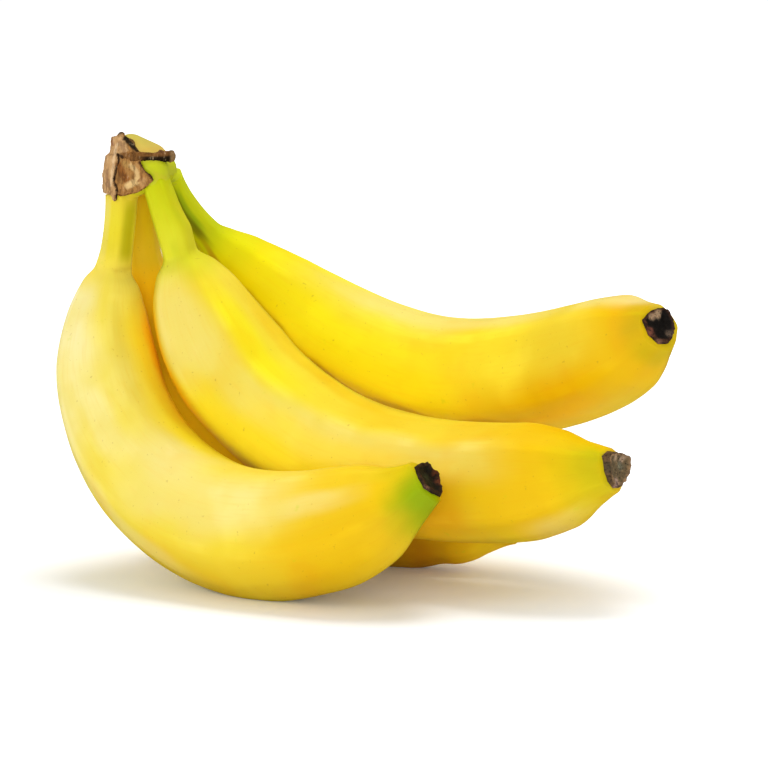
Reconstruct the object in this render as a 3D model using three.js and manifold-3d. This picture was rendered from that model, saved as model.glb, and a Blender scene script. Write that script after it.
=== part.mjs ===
// A small bunch of Cavendish bananas that rests on the bellies of two of its fingers.
//
// Four curved fingers hang from one short crown. Each ends in the dry stub of its flower. The crown's
// cut side is covered by a torn, dried husk and by a dark dried ridge.
//
// Millimetres, +Z up. The origin is on the surface that the bunch rests on, under its middle. +X runs
// from the crown towards the fingers' tips, and the front finger lies on the -Y side.

import * as THREE from 'three';
import { ConvexGeometry } from 'three/addons/geometries/ConvexGeometry.js';
import { mergeVertices } from 'three/addons/utils/BufferGeometryUtils.js';
import Module from 'manifold-3d';

const wasm = await Module();
wasm.setup();

// ---------------------------------------------------------------- driving dimensions

const GAP = 0.3; // clearance between pieces that touch
const RIDGES = 5; // the blunt corners that run down every finger
const RIDGE_HEIGHT = 0.03; // how far they stand out, as a share of the finger's radius

const FINGER_SIDES = 20; // a multiple of RIDGES, so that each ridge falls on an edge
const FINGER_RINGS = 37;

// root     where the stalk leaves the crown
// heading  compass direction of the finger's bending plane at the root, in degrees from +X towards +Y
// sweep    how many degrees that direction turns by the tip
// lean     how many degrees the bending plane tips out of the vertical
// pitch    rise above the level, in degrees, at the root, at the stalk's end, at one and two thirds of
//          the body, and at the tip
// length   along the centreline, from the crown to the flower stub
// stalk    the part of that length that is stalk
// stalkRadius, girth   radius of the stalk at its thinnest, and of the body at its fullest
// fullest  where the body is fullest, as a share of its length
// shoulder how quickly the body swells below the stalk: 1 is plain, more is quicker
// taper    length over which the body narrows to its tip
// bluntness   added to the tip's radius, as a share of the girth
// ridgeTurn   angle of the first ridge, in degrees from the hollow side of the bend
const FINGERS = {
  front: {
    root: [-75, 23, 120.6], heading: -59.5, sweep: 37.5, lean: -6.5, pitch: [-79.5, -97, -44.5, 0.5, 38],
    length: 205, stalk: 25.5, stalkRadius: 4.9, girth: 19.7, fullest: 0.65, shoulder: 0.99,
    taper: 32.5, bluntness: -0.03, ridgeTurn: 33,
  },
  middle: {
    root: [-65, 16.5, 126], heading: -24, sweep: -9, lean: 7, pitch: [-73, -73.5, -36.5, 0, 14.5],
    length: 208, stalk: 27, stalkRadius: 4.9, girth: 19.2, fullest: 0.23, shoulder: 1.15,
    taper: 31, bluntness: -0.02, ridgeTurn: 39,
  },
  upper: {
    root: [-61, 27.5, 126], heading: -22, sweep: -15.5, lean: 34.5, pitch: [-96.5, -60.5, -31, 13.5, 29.5],
    length: 210.5, stalk: 27.5, stalkRadius: 4.8, girth: 18.5, fullest: 0.71, shoulder: 0.91,
    taper: 27, bluntness: 0, ridgeTurn: 12,
  },
  lower: {
    root: [-70.5, 34, 125.5], heading: -25.5, sweep: 2, lean: 12, pitch: [-98, -91.5, -61.5, -2, -2.5],
    length: 206.5, stalk: 26, stalkRadius: 5.2, girth: 17.5, fullest: 0.54, shoulder: 0.86,
    taper: 37, bluntness: -0.08, ridgeTurn: 20,
  },
};

const PITCH_STATIONS = [0.33, 0.67]; // where the two pitches inside the body stand, as shares of its length
const ROOT_SHARE = 0.88; // radius at the root, as a share of the stalk's
const TIP_SHARE = 0.36; // radius at the tip, as a share of the girth
// Rings that round off the blunt tip under the stub: rise past the tip, and share of its radius.
const END_ROUNDING = [[0.5, 0.9], [0.8, 0.72]];

const STUB_LENGTH = 3; // the dry flower stub at each tip
const STUB_SIDES = 20;

// The crown is the rounded body that wraps these knobs: one on each finger's root, and two on its top.
const CROWN_KNOBS = [
  { at: FINGERS.front.root, radius: 4.6 },
  { at: FINGERS.middle.root, radius: 5.2 },
  { at: FINGERS.upper.root, radius: 4.4 },
  { at: FINGERS.lower.root, radius: 5 },
  { at: [-72, 22.5, 132.3], radius: 5.2 },
  { at: [-66.5, 24, 129.8], radius: 5.3 },
];

const HUSK_THICKNESS = 0.9;
const HUSK_HANG = 5; // how far down the front and middle stalks the husk reaches
const HUSK_BACK = 26; // Y of the plane where the husk stops, round the side of the crown
// The husk's torn outline, seen from the front: X and Z.
const HUSK_OUTLINE = [
  [-83, 119.3], [-80, 118.9], [-78.4, 118.3], [-77.2, 116.9], [-76, 117.4], [-75, 118.7], [-72, 119.1],
  [-68.4, 119.8], [-66.2, 121.4], [-64.2, 123.3], [-66.4, 126.4], [-68.4, 128.8], [-68.2, 132.3],
  [-70.4, 134.4], [-71.8, 136], [-73.4, 138], [-74, 142], [-83, 142],
];

// The dark ridge of dried cut tissue that lies across the crown's front.
const SCAR_PATH = [[-71.5, 15.5, 130.3], [-68, 13.9, 130.8], [-64, 13.9, 130.6], [-60, 16.2, 130.9]];
const SCAR_RADIUS = 1.7;
const SCAR_SIDES = 10;

const FLOOR_SIZE = 400;

// ---------------------------------------------------------------- materials

const peel = new THREE.MeshStandardMaterial({ color: 0xf4d21f, roughness: 0.42, metalness: 0 });
const greenPeel = new THREE.MeshStandardMaterial({ color: 0xc3cc2a, roughness: 0.45, metalness: 0 });
const dryStub = new THREE.MeshStandardMaterial({ color: 0x3a2a1c, roughness: 0.85, metalness: 0 });
const dryHusk = new THREE.MeshStandardMaterial({ color: 0xa87c50, roughness: 0.9, metalness: 0 });

// ---------------------------------------------------------------- helpers

const radians = THREE.MathUtils.degToRad;

// A smooth curve through (xs, ys) that never overshoots its points (monotone cubic interpolation).
function smoothCurve(xs, ys) {
  const last = xs.length - 1;
  const step = xs.slice(1).map((x, i) => x - xs[i]);
  const slope = step.map((h, i) => (ys[i + 1] - ys[i]) / h);

  function innerSlope(i) {
    if (slope[i - 1] * slope[i] <= 0) return 0;
    const before = 2 * step[i] + step[i - 1];
    const after = step[i] + 2 * step[i - 1];
    return (before + after) / (before / slope[i - 1] + after / slope[i]);
  }

  function endSlope(near, far) {
    const weighted = (2 * step[near] + step[far]) * slope[near] - step[near] * slope[far];
    const m = weighted / (step[near] + step[far]);
    if (m * slope[near] <= 0) return 0;
    if (slope[near] * slope[far] <= 0 && Math.abs(m) > 3 * Math.abs(slope[near])) return 3 * slope[near];
    return m;
  }

  const tangent = xs.map((x, i) => {
    if (i === 0) return endSlope(0, 1);
    if (i === last) return endSlope(last - 1, last - 2);
    return innerSlope(i);
  });

  return (x) => {
    let i = 0;
    while (i < last - 1 && x > xs[i + 1]) i += 1;
    const t = (x - xs[i]) / step[i];
    const t2 = t * t;
    const t3 = t2 * t;
    return ys[i] * (2 * t3 - 3 * t2 + 1) + ys[i + 1] * (3 * t2 - 2 * t3)
      + step[i] * (tangent[i] * (t3 - 2 * t2 + t) + tangent[i + 1] * (t3 - t2));
  };
}

// A closed body from rings of points, each ring with the same number of points, capped flat at both ends.
function loftGeometry(rings) {
  const sides = rings[0].length;
  const positions = rings.flat().flatMap((p) => [p.x, p.y, p.z]);
  const faces = [];
  for (let r = 0; r < rings.length - 1; r += 1) {
    for (let k = 0; k < sides; k += 1) {
      const a = r * sides + k;
      const b = r * sides + ((k + 1) % sides);
      faces.push(a, b, b + sides, a, b + sides, a + sides);
    }
  }
  const end = (rings.length - 1) * sides;
  for (let k = 1; k < sides - 1; k += 1) {
    faces.push(0, k + 1, k, end, end + k, end + k + 1);
  }
  const geometry = new THREE.BufferGeometry();
  geometry.setAttribute('position', new THREE.Float32BufferAttribute(positions, 3));
  geometry.setIndex(faces);
  return geometry;
}

// A closed three.js geometry as a solid that can be joined and cut.
function solidOf(geometry) {
  const bare = geometry.clone();
  bare.deleteAttribute('normal');
  bare.deleteAttribute('uv');
  const merged = mergeVertices(bare, 1e-4);
  const vertProperties = new Float32Array(merged.attributes.position.array);
  const corners = merged.index.array;
  const kept = [];
  for (let i = 0; i < corners.length; i += 3) {
    const [a, b, c] = corners.slice(i, i + 3);
    if (a !== b && b !== c && c !== a) kept.push(a, b, c); // a lathe leaves flat slivers on its axis
  }
  const triVerts = new Uint32Array(kept);
  return new wasm.Manifold(new wasm.Mesh({ numProp: 3, vertProperties, triVerts }));
}

function geometryOf(solid) {
  const mesh = solid.getMesh();
  const geometry = new THREE.BufferGeometry();
  geometry.setAttribute('position', new THREE.BufferAttribute(mesh.vertProperties, 3));
  geometry.setIndex(new THREE.BufferAttribute(mesh.triVerts, 1));
  geometry.computeVertexNormals();
  return geometry;
}

const group = new THREE.Group();

function addPiece(name, solid, material) {
  const piece = new THREE.Mesh(geometryOf(solid), material);
  piece.name = name;
  group.add(piece);
}

// ---------------------------------------------------------------- fingers

// The bend of a finger: a function from the distance along it to its direction there, with the side
// towards the hollow of the bend and the side across it.
function bendOf(finger) {
  const body = finger.length - finger.stalk;
  const inBody = PITCH_STATIONS.map((share) => finger.stalk + share * body);
  const pitchAt = smoothCurve([0, finger.stalk, ...inBody, finger.length], finger.pitch);
  const lean = radians(finger.lean);
  return (s) => {
    const pitch = radians(pitchAt(s));
    const heading = radians(finger.heading + (finger.sweep * s) / finger.length);
    const level = new THREE.Vector3(Math.cos(heading), Math.sin(heading), 0);
    const rise = new THREE.Vector3(
      Math.sin(heading) * Math.sin(lean), -Math.cos(heading) * Math.sin(lean), Math.cos(lean));
    const along = level.clone().multiplyScalar(Math.cos(pitch)).addScaledVector(rise, Math.sin(pitch));
    const inward = level.clone().multiplyScalar(-Math.sin(pitch)).addScaledVector(rise, Math.cos(pitch));
    const across = along.clone().cross(inward);
    return { along, inward, across };
  };
}

function radiusCurve(finger) {
  const { length, stalk, stalkRadius, girth, shoulder, taper, bluntness } = finger;
  const profile = [
    [0, ROOT_SHARE * stalkRadius],
    [0.5 * stalk, stalkRadius],
    [stalk, 1.12 * stalkRadius],
    [stalk + 5, 0.43 * girth * shoulder],
    [stalk + 14, 0.635 * girth * shoulder],
    [stalk + 34, 0.84 * girth * shoulder],
    [stalk + finger.fullest * (length - stalk), girth],
    [length - taper, 0.93 * girth],
    [length - 0.55 * taper, (0.78 + bluntness) * girth],
    [length - 0.22 * taper, (0.5 + bluntness) * girth],
    [length, TIP_SHARE * girth],
  ];
  return smoothCurve(profile.map((p) => p[0]), profile.map((p) => p[1]));
}

// Places along a finger's centreline, evenly spaced: { s, centre, along, inward, across, radius }.
function stationsOf(finger) {
  const bend = bendOf(finger);
  const radiusAt = radiusCurve(finger);
  const step = finger.length / (FINGER_RINGS - 1);
  const centre = new THREE.Vector3(...finger.root);
  const stations = [];
  for (let i = 0; i < FINGER_RINGS; i += 1) {
    const s = i * step;
    stations.push({ s, centre: centre.clone(), radius: radiusAt(s), ...bend(s) });
    centre.addScaledVector(bend(s + step / 2).along, step);
  }
  return stations;
}

// The finger's body, with its radius grown by `extra` all round.
function fingerSolid(finger, extra = 0) {
  const stations = stationsOf(finger);
  const tip = stations.at(-1);
  const blunt = END_ROUNDING.map(([rise, share]) => (
    { ...tip, centre: tip.centre.clone().addScaledVector(tip.along, rise), radius: share * tip.radius }));
  const rings = [...stations, ...blunt].map(({ centre, inward, across, radius }) => {
    const ring = [];
    for (let k = 0; k < FINGER_SIDES; k += 1) {
      const angle = (2 * Math.PI * k) / FINGER_SIDES;
      const reach = radius * (1 + RIDGE_HEIGHT * Math.cos(RIDGES * angle)) + extra;
      const turned = angle + radians(finger.ridgeTurn);
      ring.push(centre.clone()
        .addScaledVector(inward, reach * Math.cos(turned))
        .addScaledVector(across, reach * Math.sin(turned)));
    }
    return ring;
  });
  return solidOf(loftGeometry(rings));
}

// ---------------------------------------------------------------- flower stubs

// A dry, five-cornered cup with a sunken end, on the finger's tip.
function stubSolid(finger) {
  const tip = stationsOf(finger).at(-1);
  const wall = [[0, 0], [0.8, 0], [0.83, 0.25], [0.78, 0.7], [0.7, 1]];
  const hollow = [[0.58, 0.98], [0.4, 0.75], [0, 0.65]];
  const points = [...wall, ...hollow].map(([r, h]) => new THREE.Vector2(r * tip.radius, h * STUB_LENGTH));
  const geometry = new THREE.LatheGeometry(points, STUB_SIDES);
  const position = geometry.attributes.position;
  for (let i = 0; i < position.count; i += 1) {
    const [x, y, z] = [position.getX(i), position.getY(i), position.getZ(i)];
    const angle = Math.atan2(z, x);
    const outward = Math.hypot(x, z) / tip.radius;
    const swell = 1 + 0.05 * Math.cos(RIDGES * angle) + 0.04 * Math.cos(2 * angle + 1);
    const rise = 1 + 0.14 * outward * Math.cos(3 * angle);
    position.setXYZ(i, x * swell, y * rise, z * swell);
  }
  const place = new THREE.Matrix4().makeBasis(tip.inward, tip.along, tip.inward.clone().cross(tip.along));
  place.setPosition(tip.centre.clone().addScaledVector(tip.along, END_ROUNDING.at(-1)[0] + GAP));
  geometry.applyMatrix4(place);
  return solidOf(geometry);
}

// ---------------------------------------------------------------- crown

// The smallest rounded body that holds every knob, each grown by `extra`.
function wrappedKnobs(knobs, extra = 0) {
  const points = [];
  for (const { at, radius } of knobs) {
    const ball = new THREE.IcosahedronGeometry(radius + extra, 2).translate(...at);
    const position = ball.attributes.position;
    for (let i = 0; i < position.count; i += 1) {
      points.push(new THREE.Vector3().fromBufferAttribute(position, i));
    }
  }
  return solidOf(new ConvexGeometry(points));
}

// A round block that fills the room below a finger's root, where its stalk starts.
function stalkRoom(finger) {
  const [start] = stationsOf(finger);
  const height = 14;
  const radius = finger.stalkRadius + 1.2;
  const block = new THREE.CylinderGeometry(radius, radius, height, STUB_SIDES);
  block.translate(0, GAP - height / 2, 0);
  const place = new THREE.Matrix4().makeBasis(start.inward, start.along.clone().negate(), start.across);
  place.setPosition(start.centre);
  return solidOf(block.applyMatrix4(place));
}

function scarSolid(extra = 0) {
  const path = new THREE.CatmullRomCurve3(SCAR_PATH.map((p) => new THREE.Vector3(...p)));
  const outline = new THREE.Shape();
  outline.absellipse(0, 0, SCAR_RADIUS + extra, 1.2 * SCAR_RADIUS + extra, 0, 2 * Math.PI);
  const geometry = new THREE.ExtrudeGeometry(outline, {
    extrudePath: path, steps: 10, curveSegments: SCAR_SIDES, bevelEnabled: false,
  });
  return solidOf(geometry);
}

function crownSolid() {
  let crown = wrappedKnobs(CROWN_KNOBS);
  for (const finger of Object.values(FINGERS)) {
    crown = crown.subtract(stalkRoom(finger));
  }
  return crown.subtract(scarSolid(GAP));
}

// A thin torn skin over the crown's cut side, which hangs down round the two front stalks.
function huskSolid() {
  const hanging = [FINGERS.front, FINGERS.middle].map((finger) => {
    const root = new THREE.Vector3(...finger.root);
    const at = root.addScaledVector(bendOf(finger)(0).along, HUSK_HANG).toArray();
    return { at, radius: finger.stalkRadius };
  });
  const knobs = [...CROWN_KNOBS, ...hanging];
  const shell = wrappedKnobs(knobs, GAP + HUSK_THICKNESS).subtract(wrappedKnobs(knobs, GAP));

  const outline = new THREE.Shape(HUSK_OUTLINE.map(([x, z]) => new THREE.Vector2(x, z)));
  const depth = HUSK_BACK + 20;
  const window = new THREE.ExtrudeGeometry(outline, { depth, bevelEnabled: false });
  window.rotateX(Math.PI / 2).translate(0, HUSK_BACK, 0);

  let husk = shell.intersect(solidOf(window)).subtract(scarSolid(GAP));
  for (const finger of Object.values(FINGERS)) {
    husk = husk.subtract(fingerSolid(finger, GAP));
  }
  return husk;
}

// ---------------------------------------------------------------- the bunch

const underFloor = solidOf(new THREE.BoxGeometry(FLOOR_SIZE, FLOOR_SIZE, 50).translate(0, 0, -25));

for (const [name, finger] of Object.entries(FINGERS)) {
  addPiece(`banana_${name}`, fingerSolid(finger).subtract(underFloor), peel);
  addPiece(`flower_stub_${name}`, stubSolid(finger), dryStub);
}
addPiece('crown', crownSolid(), greenPeel);
addPiece('crown_husk', huskSolid(), dryHusk);
addPiece('crown_scar', scarSolid(), dryStub);

export default group;
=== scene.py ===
"""A small bunch of bananas: four ridged fingers, their dry flower stubs, the crown, its torn husk and scar.

Every length below is in millimetres and every angle in degrees, and `MM` turns a length into metres. The
frame's +X runs from the crown towards the fingers' tips, and +Z is up from the surface that the bunch
rests on. The fingers' names say where they lie: front, middle, upper and lower.
"""

import math

import bmesh
import bpy
from bpy.props import FloatProperty, FloatVectorProperty, IntProperty, PointerProperty
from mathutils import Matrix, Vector, noise
from mathutils.bvhtree import BVHTree


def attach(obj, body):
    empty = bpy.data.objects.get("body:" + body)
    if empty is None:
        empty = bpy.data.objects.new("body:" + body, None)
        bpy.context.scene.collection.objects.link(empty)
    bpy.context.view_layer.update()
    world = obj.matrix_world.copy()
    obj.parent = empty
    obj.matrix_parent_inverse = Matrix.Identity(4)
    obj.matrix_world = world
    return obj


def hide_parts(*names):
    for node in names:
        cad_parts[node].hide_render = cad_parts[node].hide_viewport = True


bl_info = {
    "name": "Bunch of Bananas",
    "version": (1, 0, 0),
    "blender": (4, 5, 0),
    "location": "3D View > Sidebar > Bananas",
    "description": "Builds a bunch of bananas around its packed frame",
    "category": "Add Mesh",
}

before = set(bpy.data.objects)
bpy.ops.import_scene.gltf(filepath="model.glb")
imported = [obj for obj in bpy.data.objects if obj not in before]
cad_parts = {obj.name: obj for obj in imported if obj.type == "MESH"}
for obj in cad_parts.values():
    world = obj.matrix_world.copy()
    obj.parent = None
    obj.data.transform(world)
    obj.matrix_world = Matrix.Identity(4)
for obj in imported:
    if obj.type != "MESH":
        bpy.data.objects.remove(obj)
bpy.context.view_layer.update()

MM = 0.001
BODY = "root"

# ---------------------------------------------------------------- the fingers' driving dimensions

RIDGES = 5
# The air between two pieces that touch.
GAP = 0.3

# Each finger starts at its root, inside the crown. Its heading turns by `sweep` on the way to the tip, and
# `lean` tips the plane that it bends in. `pitch` is its slope at the root, at the stalk's end, at the two
# stations below and at the tip. `girth` is its radius where it is fullest, given as a share of the way from
# the stalk's end to the tip. `shoulder` scales the radius after the stalk, `taper` is how long the tip's
# narrowing is, and `bluntness` and `tip` set the radius along it. `ridge_turn` turns the ridges round.
FINGERS = {
    "front": dict(
        root=(-75, 23, 120.6), heading=-59.5, sweep=37.5, lean=-6.5, pitch=(-79.5, -97, -44.5, 0.5, 38),
        length=205, stalk=25.5, stalk_radius=4.9, girth=19.7, fullest=0.65, shoulder=0.99,
        taper=32.5, bluntness=-0.01, ridge_turn=33, tip=0.36, root_share=1.08,
    ),
    "middle": dict(
        root=(-65, 16.5, 126), heading=-24, sweep=-9, lean=7, pitch=(-73, -73.5, -36.5, 0, 14.5),
        length=208, stalk=27, stalk_radius=4.9, girth=19.2, fullest=0.23, shoulder=1.15,
        taper=31, bluntness=-0.02, ridge_turn=39, tip=0.355, root_share=0.88,
    ),
    "upper": dict(
        root=(-61, 27.5, 126), heading=-22, sweep=-15.5, lean=34.5, pitch=(-96.5, -60.5, -31, 13.5, 29.5),
        length=210.5, stalk=27.5, stalk_radius=4.8, girth=18.5, fullest=0.71, shoulder=0.91,
        taper=27, bluntness=0.02, ridge_turn=12, tip=0.38, root_share=0.88,
    ),
    "lower": dict(
        root=(-70.5, 34, 125.5), heading=-25.5, sweep=2, lean=12, pitch=(-98, -91.5, -61.5, -2, -2.5),
        length=206.5, stalk=26, stalk_radius=5.2, girth=17.5, fullest=0.54, shoulder=0.86,
        taper=37, bluntness=-0.08, ridge_turn=20, tip=0.27, root_share=0.88,
    ),
}

# Where the slope is given between the stalk's end and the tip, as shares of the way.
PITCH_STATIONS = (0.33, 0.67)
# Where each peel starts inside the crown, along its stalk.
PEEL_START = 2.0
# The closing rings past a finger's tip: the rise, and the share of the tip's radius.
END_ROUNDING = ((0.13, 0.985), (0.28, 0.95), (0.5, 0.89), (0.68, 0.81), (0.8, 0.7), (0.8, 0.0))


# ---------------------------------------------------------------- properties

class BunchSettings(bpy.types.PropertyGroup):
    """Sizes and colours of the bunch."""

    rings: IntProperty(name="Rings", description="Rings of points along each finger", default=250, min=20)
    sides: IntProperty(name="Sides", description="Points round each finger", default=100, min=20)
    ridge_height: FloatProperty(
        name="Ridge height", description="How far a ridge stands out, as a share of the radius", default=0.03)
    unevenness: FloatProperty(
        name="Unevenness", description="Depth of the shallow dents in the peel", default=0.35 * MM,
        unit="LENGTH", precision=5)
    ripe: FloatVectorProperty(
        name="Ripe peel", description="The yellow of most of the peel",
        subtype="COLOR", default=(0.78, 0.61, 0.035))
    golden: FloatVectorProperty(
        name="Golden peel", description="The deeper yellow towards the tips",
        subtype="COLOR", default=(0.76, 0.47, 0.002))
    # Painted light and shade: a warm orange-yellow standing in for light that two fingers throw back into
    # each other's shaded sides.
    amber_bounce: FloatVectorProperty(
        name="Amber peel", description="The warm yellow where two fingers face each other",
        subtype="COLOR", default=(1.0, 0.56, 0.004))
    # Painted light: a brighter yellow laid where the peel would catch light thrown back from the next finger.
    painted_glow: FloatVectorProperty(
        name="Glowing peel", description="The bright yellow where light comes back from the next finger",
        subtype="COLOR", default=(1.0, 0.78, 0.012))
    lemon: FloatVectorProperty(
        name="Lemon peel", description="The clear yellow below a stalk",
        subtype="COLOR", default=(0.84, 0.73, 0.001))
    # Partly the peel's real whitish bloom, partly a painted sheen: it is laid on the faces turned towards the
    # light and along the upper finger's top edge.
    bloom_and_sheen: FloatVectorProperty(
        name="Bloom", description="The whitish bloom on the faces",
        subtype="COLOR", default=(0.79, 0.67, 0.22))
    # Partly the peel's own palest skin, partly a painted highlight on faces and edges that catch the light.
    cream_and_highlight: FloatVectorProperty(
        name="Cream peel", description="The palest skin, on a shoulder",
        subtype="COLOR", default=(0.80, 0.73, 0.36))
    fresh: FloatVectorProperty(
        name="Fresh stalk", description="Yellow-green of the stalks",
        subtype="COLOR", default=(0.52, 0.56, 0.001))
    # Partly the stalks' and tips' own olive, partly painted shade on the front stalk's side turned from the
    # light.
    olive_and_shade: FloatVectorProperty(
        name="Olive stalk", description="The dull side of a stalk",
        subtype="COLOR", default=(0.46, 0.39, 0.002))
    # Mostly the unripe tint at the tips; on the upper finger's stalk it is painted shade where the middle
    # finger shades it.
    green: FloatVectorProperty(
        name="Green tip", description="Unripe tint at the tips",
        subtype="COLOR", default=(0.28, 0.38, 0.0))
    # Painted shade: a red-brown darkening of undersides near the ground and of peel in another finger's
    # shadow.
    warm_shade: FloatVectorProperty(
        name="Rusty peel", description="The red-brown of an underside close to the ground",
        subtype="COLOR", default=(0.56, 0.235, 0.002))
    shade: FloatVectorProperty(
        name="Brown shade", description="Darker peel where two fingers press together",
        subtype="COLOR", default=(0.42, 0.24, 0.002))
    deep: FloatVectorProperty(
        name="Deep shade", description="The darkest line between two stalks",
        subtype="COLOR", default=(0.12, 0.11, 0.001))


# ---------------------------------------------------------------- the fingers' rule

def smooth_curve(xs, ys):
    """A smooth curve through the points that never overshoots them (monotone cubic interpolation)."""
    last = len(xs) - 1
    step = [xs[i + 1] - xs[i] for i in range(last)]
    slope = [(ys[i + 1] - ys[i]) / step[i] for i in range(last)]

    def inner(i):
        if slope[i - 1] * slope[i] <= 0:
            return 0.0
        before = 2 * step[i] + step[i - 1]
        after = step[i] + 2 * step[i - 1]
        return (before + after) / (before / slope[i - 1] + after / slope[i])

    def end(near, far):
        m = ((2 * step[near] + step[far]) * slope[near] - step[near] * slope[far]) / (step[near] + step[far])
        if m * slope[near] <= 0:
            return 0.0
        if slope[near] * slope[far] <= 0 and abs(m) > 3 * abs(slope[near]):
            return 3 * slope[near]
        return m

    tangent = [end(0, 1)] + [inner(i) for i in range(1, last)] + [end(last - 1, last - 2)]

    def at(x):
        i = 0
        while i < last - 1 and x > xs[i + 1]:
            i += 1
        t = (x - xs[i]) / step[i]
        t2, t3 = t * t, t * t * t
        return (ys[i] * (2 * t3 - 3 * t2 + 1) + ys[i + 1] * (3 * t2 - 2 * t3)
                + step[i] * (tangent[i] * (t3 - 2 * t2 + t) + tangent[i + 1] * (t3 - t2)))

    return at


def bend_of(finger):
    """The finger's direction at a distance along it, with the sides towards its hollow and across it."""
    body = finger["length"] - finger["stalk"]
    stations = [0, finger["stalk"]] + [finger["stalk"] + share * body for share in PITCH_STATIONS]
    pitch_at = smooth_curve(stations + [finger["length"]], finger["pitch"])
    lean = math.radians(finger["lean"])

    def at(s):
        pitch = math.radians(pitch_at(s))
        heading = math.radians(finger["heading"] + finger["sweep"] * s / finger["length"])
        level = Vector((math.cos(heading), math.sin(heading), 0))
        rise = Vector((
            math.sin(heading) * math.sin(lean), -math.cos(heading) * math.sin(lean), math.cos(lean)))
        along = math.cos(pitch) * level + math.sin(pitch) * rise
        inward = -math.sin(pitch) * level + math.cos(pitch) * rise
        return along, inward, along.cross(inward)

    return at


def radius_curve(finger):
    """The finger's radius as a smooth curve of the distance along it."""
    length, stalk, girth = finger["length"], finger["stalk"], finger["girth"]
    stalk_radius, shoulder = finger["stalk_radius"], finger["shoulder"]
    taper, bluntness = finger["taper"], finger["bluntness"]
    profile = [
        (0, finger["root_share"] * stalk_radius),
        (0.5 * stalk, stalk_radius),
        (stalk, 1.12 * stalk_radius),
        (stalk + 5, 0.43 * girth * shoulder),
        (stalk + 14, 0.635 * girth * shoulder),
        (stalk + 34, 0.84 * girth * shoulder),
        (stalk + finger["fullest"] * (length - stalk), girth),
        (length - taper, 0.93 * girth),
        (length - 0.55 * taper, (0.78 + bluntness) * girth),
        (length - 0.22 * taper, (0.5 + bluntness + 0.7 * (finger["tip"] - 0.36)) * girth),
        (length, finger["tip"] * girth),
    ]
    return smooth_curve([p[0] for p in profile], [p[1] for p in profile])


def stations_of(finger, count):
    """Evenly spaced places on the centreline: (distance, centre, along, inward, across, radius)."""
    bend, radius_at = bend_of(finger), radius_curve(finger)
    step = finger["length"] / (count - 1)
    centre = Vector(finger["root"])
    stations = []
    for i in range(count):
        s = i * step
        stations.append((s, centre.copy(), *bend(s), radius_at(s)))
        centre += step * bend(s + step / 2)[0]
    return stations


def ramp(value, low, high):
    """How far the value is from low to high, 0 to 1."""
    return min(1, max(0, (value - low) / (high - low)))


def eased(value, low, high):
    """How far the value is from low to high, 0 to 1, eased at both ends."""
    t = ramp(value, low, high)
    return t * t * (3 - 2 * t)


def hump(distance, width):
    """1 at no distance, falling off softly within about the width."""
    return math.exp(-(distance / width) ** 2)


# ---------------------------------------------------------------- building helpers

def put(socket, value):
    """Sets an input, or links it where the value is another node's output."""
    if isinstance(value, bpy.types.NodeSocket):
        socket.id_data.links.new(value, socket)
    else:
        socket.default_value = value


class Tree:
    """Short calls that add nodes to a tree and give back their first output."""

    def __init__(self, tree):
        self.tree = tree

    def add(self, kind, settings=None, **inputs):
        node = self.tree.nodes.new(kind)
        for key, value in (settings or {}).items():
            setattr(node, key, value)
        for key, value in inputs.items():
            put(node.inputs[key.replace("_", " ")], value)
        return node

    def attribute(self, name, output="Color"):
        return self.add("ShaderNodeAttribute", {"attribute_name": name}).outputs[output]

    def object_place(self):
        return self.add("ShaderNodeTexCoord").outputs["Object"]

    def worked_out(self, kind, operation, values):
        node = self.add(kind, {"operation": operation})
        for socket, value in zip(node.inputs, values):
            put(socket, value)
        return node.outputs

    def math(self, operation, *values):
        return self.worked_out("ShaderNodeMath", operation, values)[0]

    def plus(self, a, b):
        return self.math("ADD", a, b)

    def times(self, a, b):
        return self.math("MULTIPLY", a, b)

    def vector(self, operation, *values):
        outputs = self.worked_out("ShaderNodeVectorMath", operation, values)
        return outputs["Value" if operation == "LENGTH" else "Vector"]

    def scaled(self, vector, share):
        node = self.add("ShaderNodeVectorMath", {"operation": "SCALE"})
        put(node.inputs[0], vector)
        put(node.inputs["Scale"], share)
        return node.outputs[0]

    def between(self, value, low, high, to_low=0.0, to_high=1.0):
        """The value's place between two limits, eased at both ends."""
        node = self.add("ShaderNodeMapRange", {"interpolation_type": "SMOOTHSTEP"})
        for key, given in zip(("Value", "From Min", "From Max", "To Min", "To Max"),
                              (value, low, high, to_low, to_high)):
            put(node.inputs[key], given)
        return node.outputs["Result"]

    def mix(self, share, a, b, blend="MIX"):
        node = self.add("ShaderNodeMix", {"data_type": "RGBA", "blend_type": blend})
        put(node.inputs[0], share)
        put(node.inputs[6], a)
        put(node.inputs[7], b)
        return node.outputs[2]

    def tinted(self, colour, tint):
        return self.mix(1.0, colour, tint, "MULTIPLY")

    def noise(self, vector, scale, detail=3.0, roughness=0.5):
        node = self.add("ShaderNodeTexNoise")
        inputs = {"Vector": vector, "Scale": scale, "Detail": detail, "Roughness": roughness}
        for key, given in inputs.items():
            put(node.inputs[key], given)
        return node.outputs[0]


def rgba(colour):
    """The colour as four values, opaque."""
    return (*colour[:3], 1.0)


def new_material(name):
    """A new material, with short calls for its nodes, and its shader."""
    material = bpy.data.materials.new(name)
    material.use_nodes = True
    return material, Tree(material.node_tree), material.node_tree.nodes["Principled BSDF"]


def finish_shader(nodes, shader, colour, roughness, gloss, bump):
    """Sets a shader's colour, its roughness, how much it shines and its relief: (strength, depth, height)."""
    put(shader.inputs["Base Color"], colour)
    put(shader.inputs["Roughness"], roughness)
    put(shader.inputs["Specular IOR Level"], gloss)
    strength, depth, height = bump
    relief = nodes.add("ShaderNodeBump", Strength=strength, Distance=depth, Height=height)
    put(shader.inputs["Normal"], relief.outputs[0])


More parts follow.
